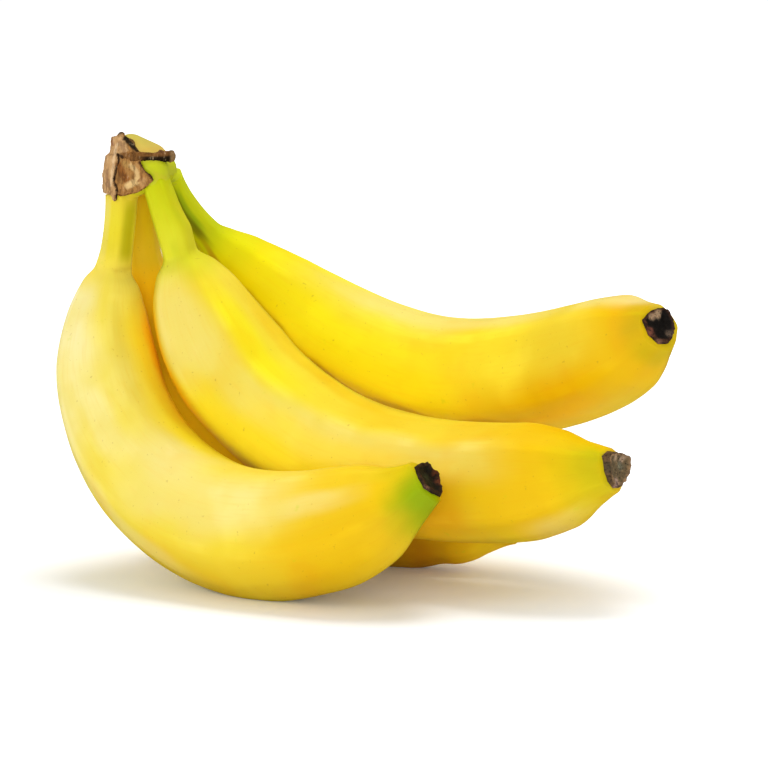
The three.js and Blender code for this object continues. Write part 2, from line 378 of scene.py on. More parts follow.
def new_object(name, mesh):
    """A new object in the scene, at the origin."""
    piece = bpy.data.objects.new(name, mesh)
    bpy.context.scene.collection.objects.link(piece)
    return piece


def finish_piece(piece, node):
    """Hands a finished piece to the frame: what it stands for and what it rides on."""
    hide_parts(node)
    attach(piece, BODY)


def plain_mesh(piece):
    """The piece with its modifiers applied, as a plain mesh."""
    depsgraph = bpy.context.evaluated_depsgraph_get()
    mesh = bpy.data.meshes.new_from_object(
        piece.evaluated_get(depsgraph), preserve_all_data_layers=True, depsgraph=depsgraph)
    piece.modifiers.clear()
    old = piece.data
    piece.data = mesh
    bpy.data.meshes.remove(old)
    mesh.name = piece.name


def fine_surface(piece, voxel, rounds):
    """Rebuilds the piece's surface with even small faces, then smooths it."""
    remesh = piece.modifiers.new("Even faces", "REMESH")
    remesh.mode = "VOXEL"
    remesh.voxel_size = voxel
    soften = piece.modifiers.new("Soften", "SMOOTH")
    soften.iterations = rounds
    soften.factor = 0.5
    plain_mesh(piece)
    for polygon in piece.data.polygons:
        polygon.use_smooth = True


def bridge(shape, rings):
    """Joins each closed ring of points to the next one with four-sided faces."""
    for near, far in zip(rings, rings[1:]):
        for k in range(len(near)):
            m = (k + 1) % len(near)
            shape.faces.new((near[k], near[m], far[m], far[k]))


def turn_outwards(shape):
    """Points every face outwards and shades it smooth."""
    bmesh.ops.recalc_face_normals(shape, faces=shape.faces)
    for face in shape.faces:
        face.smooth = True


def mesh_of(shape, name):
    """The finished shape as a mesh."""
    mesh = bpy.data.meshes.new(name)
    shape.to_mesh(mesh)
    shape.free()
    return mesh


# ---------------------------------------------------------------- peel

# How far one finger's dents are from the next one's in their common pattern.
DENT_SEED_STEP = 3.7
# The slow wander of the surface and its small dents: their scales per metre, and the wander's share of the
# unevenness and of a ridge's height.
WANDER_SCALE = 22.0
DENT_SCALE = 70.0
WANDER_WEIGHT = 3.0
RIDGE_WANDER = 1.6
# A ridge's second wave, which makes its crest narrower than the hollow beside it.
CREST_SHARE = 0.3
# The radii in metres between which the unevenness grows, so that the thin ends stay round.
UNEVEN_RADII = (0.001, 0.016)


def finger_tree():
    """Geometry nodes that skin a finger's centreline with its ridged, slightly uneven peel."""
    tree = bpy.data.node_groups.new("Ridged finger", "GeometryNodeTree")
    sockets = {}
    for name, kind in (
        ("Centreline", "NodeSocketGeometry"), ("Rings", "NodeSocketInt"), ("Sides", "NodeSocketInt"),
        ("Ridges", "NodeSocketInt"), ("Ridge height", "NodeSocketFloat"), ("Ridge turn", "NodeSocketFloat"),
        ("Unevenness", "NodeSocketFloat"), ("Seed", "NodeSocketFloat"), ("Peel", "NodeSocketMaterial"),
    ):
        sockets[name] = tree.interface.new_socket(name, in_out="INPUT", socket_type=kind)
    tree.interface.new_socket("Peel surface", in_out="OUTPUT", socket_type="NodeSocketGeometry")
    n = Tree(tree)
    given = n.add("NodeGroupInput").outputs

    columns = n.plus(given["Sides"], 1.0)
    index = n.add("GeometryNodeInputIndex").outputs[0]
    ring = n.math("FLOOR", n.math("DIVIDE", n.plus(index, 0.5), columns))
    side = n.math("SUBTRACT", index, n.times(ring, columns))
    angle = n.times(n.math("DIVIDE", side, given["Sides"]), 2 * math.pi)

    def sampled(kind, value):
        node = n.add("GeometryNodeSampleIndex", {"data_type": kind, "domain": "POINT"})
        put(node.inputs["Geometry"], given["Centreline"])
        put(node.inputs["Value"], value)
        put(node.inputs["Index"], ring)
        return node.outputs[0]

    def named(kind, name):
        node = n.add("GeometryNodeInputNamedAttribute", {"data_type": kind})
        put(node.inputs["Name"], name)
        return node.outputs["Attribute"]

    centre = sampled("FLOAT_VECTOR", n.add("GeometryNodeInputPosition").outputs[0])
    inward = sampled("FLOAT_VECTOR", named("FLOAT_VECTOR", "inward"))
    across = sampled("FLOAT_VECTOR", named("FLOAT_VECTOR", "across"))
    radius = sampled("FLOAT", named("FLOAT", "reach"))
    along = sampled("FLOAT", named("FLOAT", "along"))

    turned = n.plus(angle, given["Ridge turn"])
    direction = n.vector(
        "ADD", n.scaled(inward, n.math("COSINE", turned)), n.scaled(across, n.math("SINE", turned)))
    corner = n.times(angle, given["Ridges"])
    crest = n.times(n.math("COSINE", n.times(corner, 2.0)), CREST_SHARE)
    ridge = n.plus(n.math("COSINE", corner), crest)
    bare = n.vector("ADD", centre, n.scaled(direction, radius))
    shifted = n.vector("ADD", bare, n.add("ShaderNodeCombineXYZ", X=given["Seed"]).outputs[0])
    wander = n.math("SUBTRACT", n.noise(shifted, WANDER_SCALE, 1.0), 0.5)
    dents = n.math("SUBTRACT", n.noise(shifted, DENT_SCALE, 2.0), 0.5)
    uneven = n.plus(n.times(wander, WANDER_WEIGHT), dents)
    uneven = n.times(uneven, given["Unevenness"])
    uneven = n.times(uneven, n.between(radius, *UNEVEN_RADII))
    strength = n.plus(1.0, n.times(wander, RIDGE_WANDER))
    relief = n.times(n.times(ridge, given["Ridge height"]), strength)
    reach = n.plus(n.times(radius, n.plus(relief, 1.0)), uneven)
    reach = n.times(reach, n.math("GREATER_THAN", radius, 1e-6))
    skin = n.vector("ADD", centre, n.scaled(direction, reach))
    # Nothing goes below the surface that the bunch rests on.
    rested = n.vector("MAXIMUM", skin, (-1.0, -1.0, 0.0))

    grid = n.add("GeometryNodeMeshGrid", Vertices_X=given["Rings"], Vertices_Y=columns).outputs["Mesh"]
    placed = n.add("GeometryNodeSetPosition", Geometry=grid, Position=rested).outputs[0]

    def stored(geometry, kind, name, value):
        node = n.add("GeometryNodeStoreNamedAttribute", {"data_type": kind, "domain": "POINT"})
        put(node.inputs["Geometry"], geometry)
        put(node.inputs["Name"], name)
        put(node.inputs["Value"], value)
        return node.outputs[0]

    # A point's place on the peel: the cosine and the sine of its angle, and its distance along the finger.
    cosine, sine = n.math("COSINE", angle), n.math("SINE", angle)
    place = n.add("ShaderNodeCombineXYZ", X=cosine, Y=sine, Z=along).outputs[0]
    with_place = stored(placed, "FLOAT_VECTOR", "peel_place", place)
    with_ridge = stored(with_place, "FLOAT", "ridge", ridge)
    closed = n.add("GeometryNodeMergeByDistance", Geometry=with_ridge, Distance=1e-6).outputs[0]
    outward = n.add("GeometryNodeFlipFaces", Mesh=closed).outputs[0]
    smooth = n.add("GeometryNodeSetShadeSmooth", Geometry=outward).outputs[0]
    real = n.add("GeometryNodeRealizeInstances", Geometry=smooth).outputs[0]
    dressed = n.add("GeometryNodeSetMaterial", Geometry=real, Material=given["Peel"]).outputs[0]
    put(n.add("NodeGroupOutput").inputs[0], dressed)
    return tree, {name: socket.identifier for name, socket in sockets.items()}


def centreline(name, finger, rings):
    """The finger's centreline as points that carry its frame and radius. Both ends close on the axis."""
    stations = [row for row in stations_of(finger, rings) if row[0] >= PEEL_START]
    first, last = stations[0], stations[-1]
    rows = [(*first[:5], 0.0)] + stations
    for rise, share in END_ROUNDING:
        rows.append((last[0] + rise, last[1] + rise * last[2], *last[2:5], share * last[5]))
    edges = [(i, i + 1) for i in range(len(rows) - 1)]
    mesh = bpy.data.meshes.new(name)
    mesh.from_pydata([centre * MM for _, centre, *_ in rows], edges, [])
    for key, kind, values in (
        ("inward", "FLOAT_VECTOR", [row[3] for row in rows]),
        ("across", "FLOAT_VECTOR", [row[4] for row in rows]),
        ("reach", "FLOAT", [row[5] * MM for row in rows]),
        ("along", "FLOAT", [row[0] * MM for row in rows]),
    ):
        attribute = mesh.attributes.new(key, kind, "POINT")
        for item, value in zip(attribute.data, values):
            if kind == "FLOAT":
                item.value = value
            else:
                item.vector = value
    return new_object(name, mesh)


# Where a peel swells beyond its rule, or sinks below it: mm outwards, from and to along the finger, how far
# the ends fade, the angle round the finger and the half width in degrees.
SWELLINGS = {
    "front": ((0.9, 28, 34, 2, 325, 50), (1.1, 25, 33, 6, 78, 60), (1.0, 192, 210, 6, 215, 60)),
    "middle": ((2.0, 16, 24, 6, 338, 55), (1.4, 190, 204, 8, 150, 60), (-1.2, 207, 216, 5, 305, 45)),
    "upper": ((1.0, 198, 213, 10, 138, 52),),
    "lower": ((3.2, 188, 201, 8, 120, 66),),
}

# The peel's colours. Each finger has stops along its length: a distance, two named colours and the share of
# the second. Then come soft patches: a colour, its strength, where the patch starts and ends as (distance,
# angle round the finger), its half width in degrees and how far its ends fade. The angle runs from the
# finger's hollow side. `seed` shifts the finger's patterns, so that no two fingers have the same.
# Many patches below are painted light and shade, not the peel's own colour: bloom, cream and glow patches
# stand in for sheen and thrown-back light, and amber, rust, shade and deep patches, and some olive and green
# ones, for shade between the fingers.
PEEL = {
    "front": dict(
        seed=0.0,
        stops=((0, "ripe", "golden", 0.2), (14, "ripe", "lemon", 0.3), (28, "ripe", "bloom_and_sheen", 0.15),
               (70, "ripe", "bloom_and_sheen", 0.3), (115, "ripe", "bloom_and_sheen", 0.05), (150, "ripe", "golden", 0.15),
               (184, "ripe", "golden", 0.7), (205, "golden", "green", 0.3)),
        patches=(
            # Painted sheen: these bloom and cream patches lie on the faces turned towards the light.
            ("bloom_and_sheen", 1.0, (32, 62), (58, 52), 44, 8),
            ("bloom_and_sheen", 0.8, (58, 66), (84, 84), 34, 12),
            ("bloom_and_sheen", 0.85, (98, 4), (126, 358), 32, 16),
            ("bloom_and_sheen", 0.25, (130, 356), (172, 352), 30, 14),
            ("golden", 0.3, (136, 358), (168, 356), 30, 12),
            ("bloom_and_sheen", 0.6, (164, 32), (186, 34), 14, 8),
            ("cream_and_highlight", 0.6, (33, 52), (38, 50), 38, 5),
            ("cream_and_highlight", 0.3, (58, 32), (98, 32), 16, 12),
            ("bloom_and_sheen", 0.35, (2, 58), (24, 58), 22, 5),
            ("warm_shade", 0.2, (178, 104), (202, 100), 40, 12),
            ("bloom_and_sheen", 0.55, (106, 40), (164, 26), 34, 14),
            ("golden", 0.55, (108, 116), (150, 108), 36, 16),
            ("golden", 0.95, (158, 98), (192, 80), 54, 14),
            ("golden", 0.8, (188, 42), (198, 46), 26, 6),
            ("bloom_and_sheen", 0.5, (84, 80), (130, 108), 16, 12),
            # Painted light and shade along the top edge, where this finger faces the middle one.
            ("painted_glow", 0.75, (38, 302), (118, 302), 42, 12),
            ("amber_bounce", 0.75, (36, 286), (68, 288), 18, 12),
            # Painted shade: the olive side of the stalk turned from the light, and the shade lines in the
            # crease below the shoulder.
            ("olive_and_shade", 0.9, (5, 318), (22, 322), 30, 3),
            ("shade", 0.6, (24.5, 318), (25.5, 338), 34, 1.5),
            ("shade", 0.25, (25, 350), (25, 40), 30, 1.5),
            ("olive_and_shade", 0.3, (4, 40), (21, 40), 90, 4),
            ("green", 1.0, (197, 108), (214, 100), 74, 7),
            ("green", 0.6, (204, 40), (214, 40), 40, 4),
        )),
    "middle": dict(
        seed=3.1,
        stops=((0, "fresh", "fresh", 0), (27, "fresh", "ripe", 0.4), (38, "ripe", "golden", 0.15),
               (80, "ripe", "lemon", 0.25), (120, "ripe", "golden", 0.1), (160, "ripe", "golden", 0.35),
               (188, "golden", "golden", 0), (200, "golden", "fresh", 0.12), (208, "golden", "shade", 0.2)),
        patches=(
            ("bloom_and_sheen", 0.5, (34, 52), (64, 44), 44, 8),
            ("bloom_and_sheen", 0.45, (66, 24), (172, 16), 26, 18),
            ("lemon", 0.7, (40, 347), (90, 352), 18, 14),
            ("golden", 0.6, (50, 310), (128, 312), 14, 12),
            ("olive_and_shade", 0.2, (14, 335), (36, 350), 40, 8),
            # Painted shadow: the rust patch lies where the front finger's tip shades this one.
            ("warm_shade", 0.62, (146, 61), (164, 62), 36, 9),
            ("green", 0.35, (206, 4), (210, 4), 20, 3),
            # Painted light: these glow and amber patches stand in for light thrown back from the front and
            # lower fingers.
            ("painted_glow", 0.5, (84, 40), (160, 36), 30, 16),
            ("painted_glow", 0.5, (68, 84), (104, 80), 36, 12),
            ("amber_bounce", 1.0, (40, 120), (108, 124), 40, 8),
            ("golden", 0.9, (164, 62), (196, 66), 38, 12),
            ("golden", 0.6, (108, 332), (140, 332), 20, 12),
            ("amber_bounce", 0.8, (100, 112), (160, 106), 50, 12),
            ("painted_glow", 0.4, (170, 126), (182, 126), 34, 10),
            ("bloom_and_sheen", 0.4, (184, 118), (196, 118), 30, 8),
            ("fresh", 0.45, (202, 20), (210, 20), 70, 5),
            ("fresh", 0.35, (206, 95), (211, 95), 34, 4),
            ("shade", 0.45, (40, 291), (150, 292), 9, 20),
            ("olive_and_shade", 0.45, (197, 60), (210, 60), 90, 6),
            ("green", 0.35, (14, 352), (17, 352), 16, 5),
            ("green", 0.3, (24, 30), (26, 28), 14, 4),
        )),
    "upper": dict(
        seed=7.7,
        stops=((0, "fresh", "fresh", 0), (27, "fresh", "fresh", 0), (36, "lemon", "fresh", 0.35),
               (47, "lemon", "golden", 0.2), (70, "lemon", "painted_glow", 0.3), (112, "lemon", "painted_glow", 0.6),
               (150, "painted_glow", "ripe", 0.5),
               (182, "ripe", "golden", 0.3), (202, "golden", "golden", 0), (211, "golden", "green", 0.3)),
        patches=(
            ("ripe", 0.8, (56, 338), (140, 338), 34, 14),
            ("bloom_and_sheen", 0.6, (74, 318), (172, 325), 30, 20),
            ("painted_glow", 0.9, (52, 92), (120, 96), 44, 16),
            ("golden", 1.0, (146, 84), (202, 76), 34, 18),
            # Painted highlight: the bloom and cream patches run along the top edge, which catches the light.
            ("bloom_and_sheen", 0.7, (184, 316), (205, 308), 36, 7),
            ("cream_and_highlight", 0.5, (199, 308), (207, 304), 24, 5),
            ("olive_and_shade", 0.5, (208, 104), (212, 104), 40, 4),
            ("olive_and_shade", 0.3, (209, 18), (213, 18), 24, 4),
            ("warm_shade", 0.15, (202, 60), (212, 60), 100, 8),
            ("amber_bounce", 0.5, (128, 116), (180, 116), 30, 14),
            # Painted shade: the green and deep patches darken the stalk where the middle finger shades it,
            # and the shade lines follow that finger's edge.
            ("green", 0.95, (6, 32), (24, 38), 19, 4),
            ("deep", 0.8, (5, 50), (28, 55), 18, 5),
            ("shade", 0.8, (28, 62), (50, 59), 9, 4),
            ("shade", 0.8, (50, 59), (72, 80), 9, 4),
            ("shade", 0.65, (72, 80), (96, 97), 9, 4),
            ("shade", 0.5, (96, 97), (150, 98), 9, 8),
        )),
    "lower": dict(
        seed=11.3,
        # Painted light and shade: the amber and glow in these stops stand in for light in the groove between
        # the front and middle fingers.
        stops=((0, "golden", "shade", 0.1), (14, "golden", "olive_and_shade", 0.3), (28, "ripe", "golden", 0.6),
               (38, "golden", "amber_bounce", 0.8), (52, "painted_glow", "amber_bounce", 0.7), (110, "painted_glow", "amber_bounce", 0.4),
               (140, "golden", "amber_bounce", 0.3), (192, "golden", "amber_bounce", 0.3), (206, "golden", "golden", 0)),
        patches=(
            # Painted shade: the rust patch darkens the underside near the ground.
            ("warm_shade", 0.9, (170, 100), (187, 108), 60, 9),
            ("painted_glow", 0.5, (194, 124), (204, 120), 60, 6),
            ("bloom_and_sheen", 0.3, (60, 180), (170, 180), 60, 20),
        )),
}


# Where a patch starts to weaken and where it ends, as shares of its half width.
PATCH_CORE = 0.35
PATCH_EDGE = 1.25
# The stations along a finger that its swellings are placed by.
SWELL_STATIONS = 400
# How far the painted colours stray from their places: along the finger, round it, and the straying's scale
# per millimetre. Along the finger it sets in between two distances, so that a stalk stays as it is.
STRAY_ALONG = 5
STRAY_ROUND = 9
STRAY_SCALE = 0.06
STRAY_GROWS = (12, 60)
# What a paler and a warmer place on the peel make of its painted colour, and the colour of a freckle.
PALE_TINT = (1.06, 1.1, 1.5, 1.0)
WARM_TINT = (1.0, 0.86, 0.6, 1.0)
FRECKLE = (0.36, 0.17, 0.01, 1.0)


def patch_share(s, angle, start, end, width, fade):
    """How strongly a patch reaches a place, 0 to 1. It runs from start to end, each (distance, angle)."""
    if not start[0] - fade < s < end[0] + fade:
        return 0.0
    t = min(1, max(0, (s - start[0]) / max(1, end[0] - start[0])))
    swing = (end[1] - start[1] + 180) % 360 - 180
    off = abs((angle - start[1] - swing * t + 180) % 360 - 180)
    ends = eased(s, start[0] - fade, start[0] + fade) * (1 - eased(s, end[0] - fade, end[0] + fade))
    return (1 - eased(off, PATCH_CORE * width, PATCH_EDGE * width)) * ends


def peel_places(piece):
    """Each point of a peel with its distance along the finger in mm and its angle in degrees."""
    for vertex, where in zip(piece.data.vertices, piece.data.attributes["peel_place"].data):
        cosine, sine, along = where.vector
        yield vertex, along / MM, math.degrees(math.atan2(sine, cosine))


def swell_peel(piece, finger, swellings):
    """Moves the peel's points outwards where it swells, and inwards where it sinks."""
    last = SWELL_STATIONS - 1
    stations = stations_of(finger, SWELL_STATIONS)
    for vertex, s, angle in peel_places(piece):
        out = sum(mm * patch_share(s, angle, (start, middle), (end, middle), width, fade)
                  for mm, start, end, fade, middle, width in swellings)
        if out:
            _, _, _, inward, across, _ = stations[min(last, round(last * s / finger["length"]))]
            turn = math.radians(angle)
            vertex.co += (math.cos(turn) * inward + math.sin(turn) * across) * out * MM


def peel_colour(look, s, angle, settings):
    """The peel's colour at a distance along the finger and an angle round it."""
    stops = look["stops"]
    k = 0
    while k < len(stops) - 2 and s > stops[k + 1][0]:
        k += 1
    before, after = (
        Vector(getattr(settings, first)).lerp(Vector(getattr(settings, second)), share)
        for _, first, second, share in stops[k:k + 2])
    colour = before.lerp(after, eased(s, stops[k][0], stops[k + 1][0]))
    for name, strength, start, end, width, fade in look["patches"]:
        share = strength * patch_share(s, angle, start, end, width, fade)
        if share:
            colour = colour.lerp(Vector(getattr(settings, name)), share)
    return colour


def paint_peel(piece, look, settings):
    """Colours each point after its place on the finger, a little out of true so that no edge is straight."""
    piece.data.attributes.new("peel_colour", "FLOAT_COLOR", "POINT")
    paint = piece.data.attributes["peel_colour"].data
    for (vertex, s, angle), item in zip(peel_places(piece), paint):
        spot = vertex.co / MM * STRAY_SCALE + Vector((look["seed"], 0, 0))
        wander = noise.noise(spot) * 0.7 + noise.noise(spot * 3.1) * 0.3
        s += STRAY_ALONG * wander * eased(s, *STRAY_GROWS)
        angle += STRAY_ROUND * noise.noise(spot + Vector((0, 0, 9)))
        item.color = (*peel_colour(look, s, angle, settings), 1.0)


def peel_material(name, look, settings):
    """The peel: its painted colour with mottling, paler ridges, streaks, greenish smudges and freckles."""
    material, n, shader = new_material(f"peel {name}")
    place = n.attribute("peel_place", "Vector")
    paint = n.attribute("peel_colour")
    ridge = n.attribute("ridge", "Fac")
    seed = (look["seed"], 0.0, 0.0)
    spot = n.vector("ADD", n.object_place(), seed)
    pale = n.tinted(paint, PALE_TINT)
    warm = n.tinted(paint, WARM_TINT)

    mottle = n.noise(spot, 42.0)
    colour = n.mix(n.between(mottle, 0.5, 0.7, to_high=0.9), paint, pale)
    colour = n.mix(n.between(mottle, 0.3, 0.48, 0.6, 0.0), colour, warm)
    worn = n.between(n.noise(spot, 60.0, 2.0), 0.4, 0.65, to_high=0.8)
    colour = n.mix(n.times(n.between(ridge, 0.85, 1.3), worn), colour, pale)

    streak_place = n.vector("MULTIPLY", place, (0.020, 0.020, 0.10))
    streaks = n.noise(n.vector("ADD", streak_place, seed), 900.0, 2.0)
    colour = n.mix(n.between(streaks, 0.45, 0.8, to_high=0.25), colour, warm)
    smudges = n.noise(spot, 210.0, roughness=0.6)
    colour = n.mix(n.between(smudges, 0.66, 0.8, to_high=0.3), colour, rgba(settings.fresh))
    freckles = n.noise(spot, 800.0, 2.0, roughness=0.6)
    colour = n.mix(n.between(freckles, 0.68, 0.76, to_high=0.35), colour, FRECKLE)

    # Light goes a little way into the peel.
    shader.inputs["Subsurface Weight"].default_value = 0.08
    shader.inputs["Subsurface Radius"].default_value = (1.0, 0.5, 0.05)
    shader.inputs["Subsurface Scale"].default_value = 0.003
    rough = n.between(n.noise(spot, 120.0, 2.0), 0.3, 0.7, 0.42, 0.52)
    grain = n.noise(spot, 2200.0, 2.0)
    height = n.plus(n.times(streaks, 0.6), n.times(grain, 0.4))
    finish_shader(n, shader, colour, rough, 0.12, (0.08, 0.0004, height))
    return material


class BUNCH_OT_fingers(bpy.types.Operator):
    """Builds the four fingers, each from the crown to its tip"""

    bl_idname = "bunch.fingers"
    bl_label = "Fingers"

    def execute(self, context):
        settings = context.scene.bunch
        tree, ids = finger_tree()
        for number, (name, finger) in enumerate(FINGERS.items()):
            piece = centreline(f"peel_{name}", finger, settings.rings)
            skin = piece.modifiers.new("Ridged finger", "NODES")
            skin.node_group = tree
            for key, value in (
                ("Rings", len(piece.data.vertices)), ("Sides", settings.sides), ("Ridges", RIDGES),
                ("Ridge height", settings.ridge_height), ("Ridge turn", math.radians(finger["ridge_turn"])),
                ("Unevenness", settings.unevenness), ("Seed", DENT_SEED_STEP * number),
                ("Peel", peel_material(name, PEEL[name], settings)),
            ):
                skin[ids[key]] = value
            plain_mesh(piece)
            swell_peel(piece, finger, SWELLINGS[name])
            paint_peel(piece, PEEL[name], settings)
            finish_piece(piece, f"banana_{name}")
        return {"FINISHED"}


# ---------------------------------------------------------------- flower stubs

# Each stub is a dry, crumpled cup. Its corners go round the finger's tip: an angle from the hollow side, the
# foot's and the rim's distance from the axis and the rim's height. `floor` is the height of the cup's floor.
# `wall`, `lip` and `hollow` are its colours, and dabs are patches of colour: (towards the finger's hollow
# side, across, size), colour, strength.
# Some of the dabs are painted highlights and one is a painted reflection; the others are the stub's own
# colour.
STUBS = {
    "front": dict(
        corners=((31, 5.4, 4.9, 0.5), (80, 5.2, 4.7, 0.5), (114, 6.2, 5.7, 0.4), (150, 5.2, 4.7, 0.6),
                 (200, 6.3, 6.1, 0.7), (220, 5.7, 5.7, 1.6), (250, 5.5, 5.3, 1.7), (279, 6.0, 6.9, 2.2),
                 (302, 5.2, 5.0, 2.0), (317, 5.9, 6.6, 1.9), (350, 5.4, 5.0, 1.0)),
        floor=0.1, seed=0.0, wall=(0.032, 0.018, 0.009), lip=(0.045, 0.020, 0.009),
        hollow=(0.016, 0.013, 0.007),
        dabs=(((2.1, -5.8, 2.2), (0.13, 0.035, 0.010), 0.8), ((-2.1, -5.1, 2.4), (0.12, 0.032, 0.010), 0.8),
              ((-3.4, 5.2, 2.0), (0.16, 0.080, 0.045), 0.8), ((0.8, -0.5, 2.0), (0.035, 0.040, 0.016), 0.9))),
    "middle": dict(
        corners=((5, 5.6, 4.6, 1.3), (39, 6.5, 4.8, 1.4), (84, 5.4, 4.5, 1.4), (117, 5.7, 5.2, 1.2),
                 (148, 6.0, 5.6, 0.9), (174, 5.6, 5.4, 1.3), (229, 4.6, 4.4, 2.4), (256, 5.0, 4.9, 2.6),
                 (284, 5.9, 6.4, 2.6), (302, 5.6, 5.4, 2.0), (330, 5.0, 4.6, 1.3)),
        floor=0.7, seed=5.3, wall=(0.10, 0.058, 0.024), lip=(0.24, 0.145, 0.07),
        hollow=(0.15, 0.105, 0.05),
        # Painted highlights: the tan dabs at (2.9, -0.7) and (1.7, -3.4) on the inner wall.
        dabs=(((1.3, 4.6, 2.4), (0.075, 0.055, 0.028), 0.8), ((2.9, -0.7, 1.3), (0.46, 0.31, 0.18), 0.9),
              ((1.7, -3.4, 1.4), (0.45, 0.31, 0.20), 0.8), ((0.2, -2.0, 1.9), (0.17, 0.16, 0.10), 0.9),
              ((-3.6, 2.4, 1.6), (0.40, 0.26, 0.19), 0.8), ((-4.9, 3.0, 1.2), (0.26, 0.15, 0.12), 0.8))),
    "upper": dict(
        corners=((345, 5.2, 4.9, 0.6), (32, 6.4, 6.2, 0.1), (78, 6.0, 5.5, 0.4), (117, 6.1, 5.8, 0.6),
                 (147, 5.7, 5.6, 1.0), (171, 4.8, 4.7, 1.6), (205, 4.0, 3.8, 2.0), (246, 4.0, 3.8, 2.1),
                 (281, 4.8, 4.8, 1.9), (300, 5.3, 5.5, 1.5)),
        floor=0.3, seed=10.6, wall=(0.030, 0.014, 0.008), lip=(0.060, 0.024, 0.012),
        hollow=(0.010, 0.008, 0.006),
        # Painted highlight: the tan dabs at (3.9, 0.5) and (2.9, -1.6) on the inner wall; painted reflection:
        # the dab at (-3.4, 0.6).
        dabs=(((3.9, 0.5, 1.5), (0.36, 0.23, 0.13), 0.85), ((2.9, -1.6, 1.8), (0.38, 0.25, 0.14), 0.9),
              ((1.5, 4.9, 2.0), (0.17, 0.055, 0.032), 0.8), ((-2.5, 5.4, 1.6), (0.15, 0.07, 0.045), 0.8),
              ((-3.4, 0.6, 1.5), (0.13, 0.09, 0.06), 0.8))),
    "lower": dict(
        corners=((10, 4.2, 3.8, 1.0), (85, 3.7, 3.4, 0.9), (140, 4.0, 3.6, 1.1), (215, 3.7, 3.4, 1.3),
                 (290, 4.1, 3.9, 1.2)),
        floor=0.1, seed=15.9, wall=(0.032, 0.018, 0.009), lip=(0.060, 0.030, 0.015),
        hollow=(0.016, 0.013, 0.007),
        dabs=()),
}
STUB_SIDES = 96
# Where the stub sits past the end of the finger's centreline, and its foot's height below that seat.
STUB_SEAT = 0.8
STUB_FOOT = -0.6
# The steps along the finger that lead to its tip.
TIP_STATIONS = 37
# How the rows of points run: the share of the way from foot to rim on the outside, then the share of the
# rim's distance on the inside.
STUB_WALL = (0.0, 0.12, 0.25, 0.4, 0.55, 0.7, 0.85, 0.95)
STUB_INSIDE = (1.0, 0.97, 0.9, 0.84, 0.78, 0.7, 0.6, 0.48, 0.35, 0.22, 0.1)


def stub_material():
    """Dry stub tissue: its painted colour with paler blotches and dark specks."""
    material, n, shader = new_material("dry flower stub")
    spot = n.object_place()
    paint = n.attribute("dry_colour")
    blotch = n.noise(spot, 700.0, 4.0, roughness=0.65)
    colour = n.mix(n.between(blotch, 0.45, 0.7), paint, n.tinted(paint, (1.7, 1.6, 1.5, 1.0)))
    specks = n.between(n.noise(spot, 1500.0), 0.48, 0.7, to_high=0.75)
    colour = n.mix(specks, colour, (0.010, 0.006, 0.004, 1))
    finish_shader(n, shader, colour, 0.7, 0.2, (0.7, 0.0005, n.noise(spot, 1500.0, 4.0, roughness=0.7)))
    return material


def stub_corner(corners, angle):
    """The foot's and the rim's place and the rim's height at an angle, on nearly straight sides."""
    count = len(corners)
    k = next((i for i in range(count)
              if (angle - corners[i][0]) % 360 < (corners[(i + 1) % count][0] - corners[i][0]) % 360), 0)
    here, after = corners[k], corners[(k + 1) % count]
    t = (angle - here[0]) % 360 / ((after[0] - here[0]) % 360)
    t = 0.75 * t + 0.25 * eased(t, 0, 1)

    def place(column):
        ends = [row[column] * Vector((math.cos(math.radians(row[0])), math.sin(math.radians(row[0]))))
                for row in (here, after)]
        return ends[0].lerp(ends[1], t)

    return place(1), place(2), here[3] + (after[3] - here[3]) * t


def stub_mesh(name, finger, look):
    """A dry, crumpled cup with a few corners, on the finger's tip."""
    _, centre, along, inward, across, _ = stations_of(finger, TIP_STATIONS)[-1]
    seat = centre + along * (STUB_SEAT + GAP)
    seed = look["seed"]
    shape = bmesh.new()
    paint = shape.verts.layers.float_color.new("dry_colour")
    rims = [stub_corner(look["corners"], 360 * k / STUB_SIDES) for k in range(STUB_SIDES)]
    middle = sum((rim for _, rim, _ in rims), Vector((0, 0))) / STUB_SIDES
    rings = []

    def add_point(flat, height, colour, rough):
        """Adds a point at a flat place and a height on the stub, creased by the share `rough`."""
        spot = Vector((flat.x, flat.y, height + seed))
        crease = noise.noise(spot * 0.55) * 0.5 + noise.noise(spot * 1.3) * 0.35
        flat = flat + rough * crease * (flat - middle).normalized()
        height += 0.5 * rough * noise.noise(spot * 0.8 + Vector((7, 0, 0)))
        colour = Vector(colour)
        for (u, v, size), dab, strength in look["dabs"]:
            away = (flat - Vector((u, v))).length
            colour = colour.lerp(Vector(dab), strength * (1 - eased(away, 0.35 * size, size)))
        point = shape.verts.new((seat + flat.x * inward + flat.y * across + height * along) * MM)
        point[paint] = (*colour, 1.0)
        return point

    for share in STUB_WALL:
        rings.append([
            add_point(foot.lerp(rim, share) * (1 + 0.05 * math.sin(math.pi * share)),
                      STUB_FOOT + (height - STUB_FOOT) * share, look["wall"], share)
            for foot, rim, height in rims])
    # Inside, the rim is rolled a little and then falls to the floor.
    for share in STUB_INSIDE:
        down = eased(share, 1.0, 0.55)
        raised = 0.12 * math.sin(math.pi * min(1, (1 - share) / 0.16))
        colour = Vector(look["lip"]).lerp(Vector(look["hollow"]), eased(share, 0.92, 0.8))
        rings.append([
            add_point(middle.lerp(rim, share), height + raised + (look["floor"] - height) * down, colour,
                      0.3 + 0.7 * share)
            for _, rim, height in rims])
    bridge(shape, rings)
    for ring, height in ((rings[0], STUB_FOOT), (rings[-1], look["floor"])):
        pole = add_point(middle, height, look["hollow"], 0.0)
        for k in range(STUB_SIDES):
            shape.faces.new((ring[k], ring[(k + 1) % STUB_SIDES], pole))
    turn_outwards(shape)
    return mesh_of(shape, name)


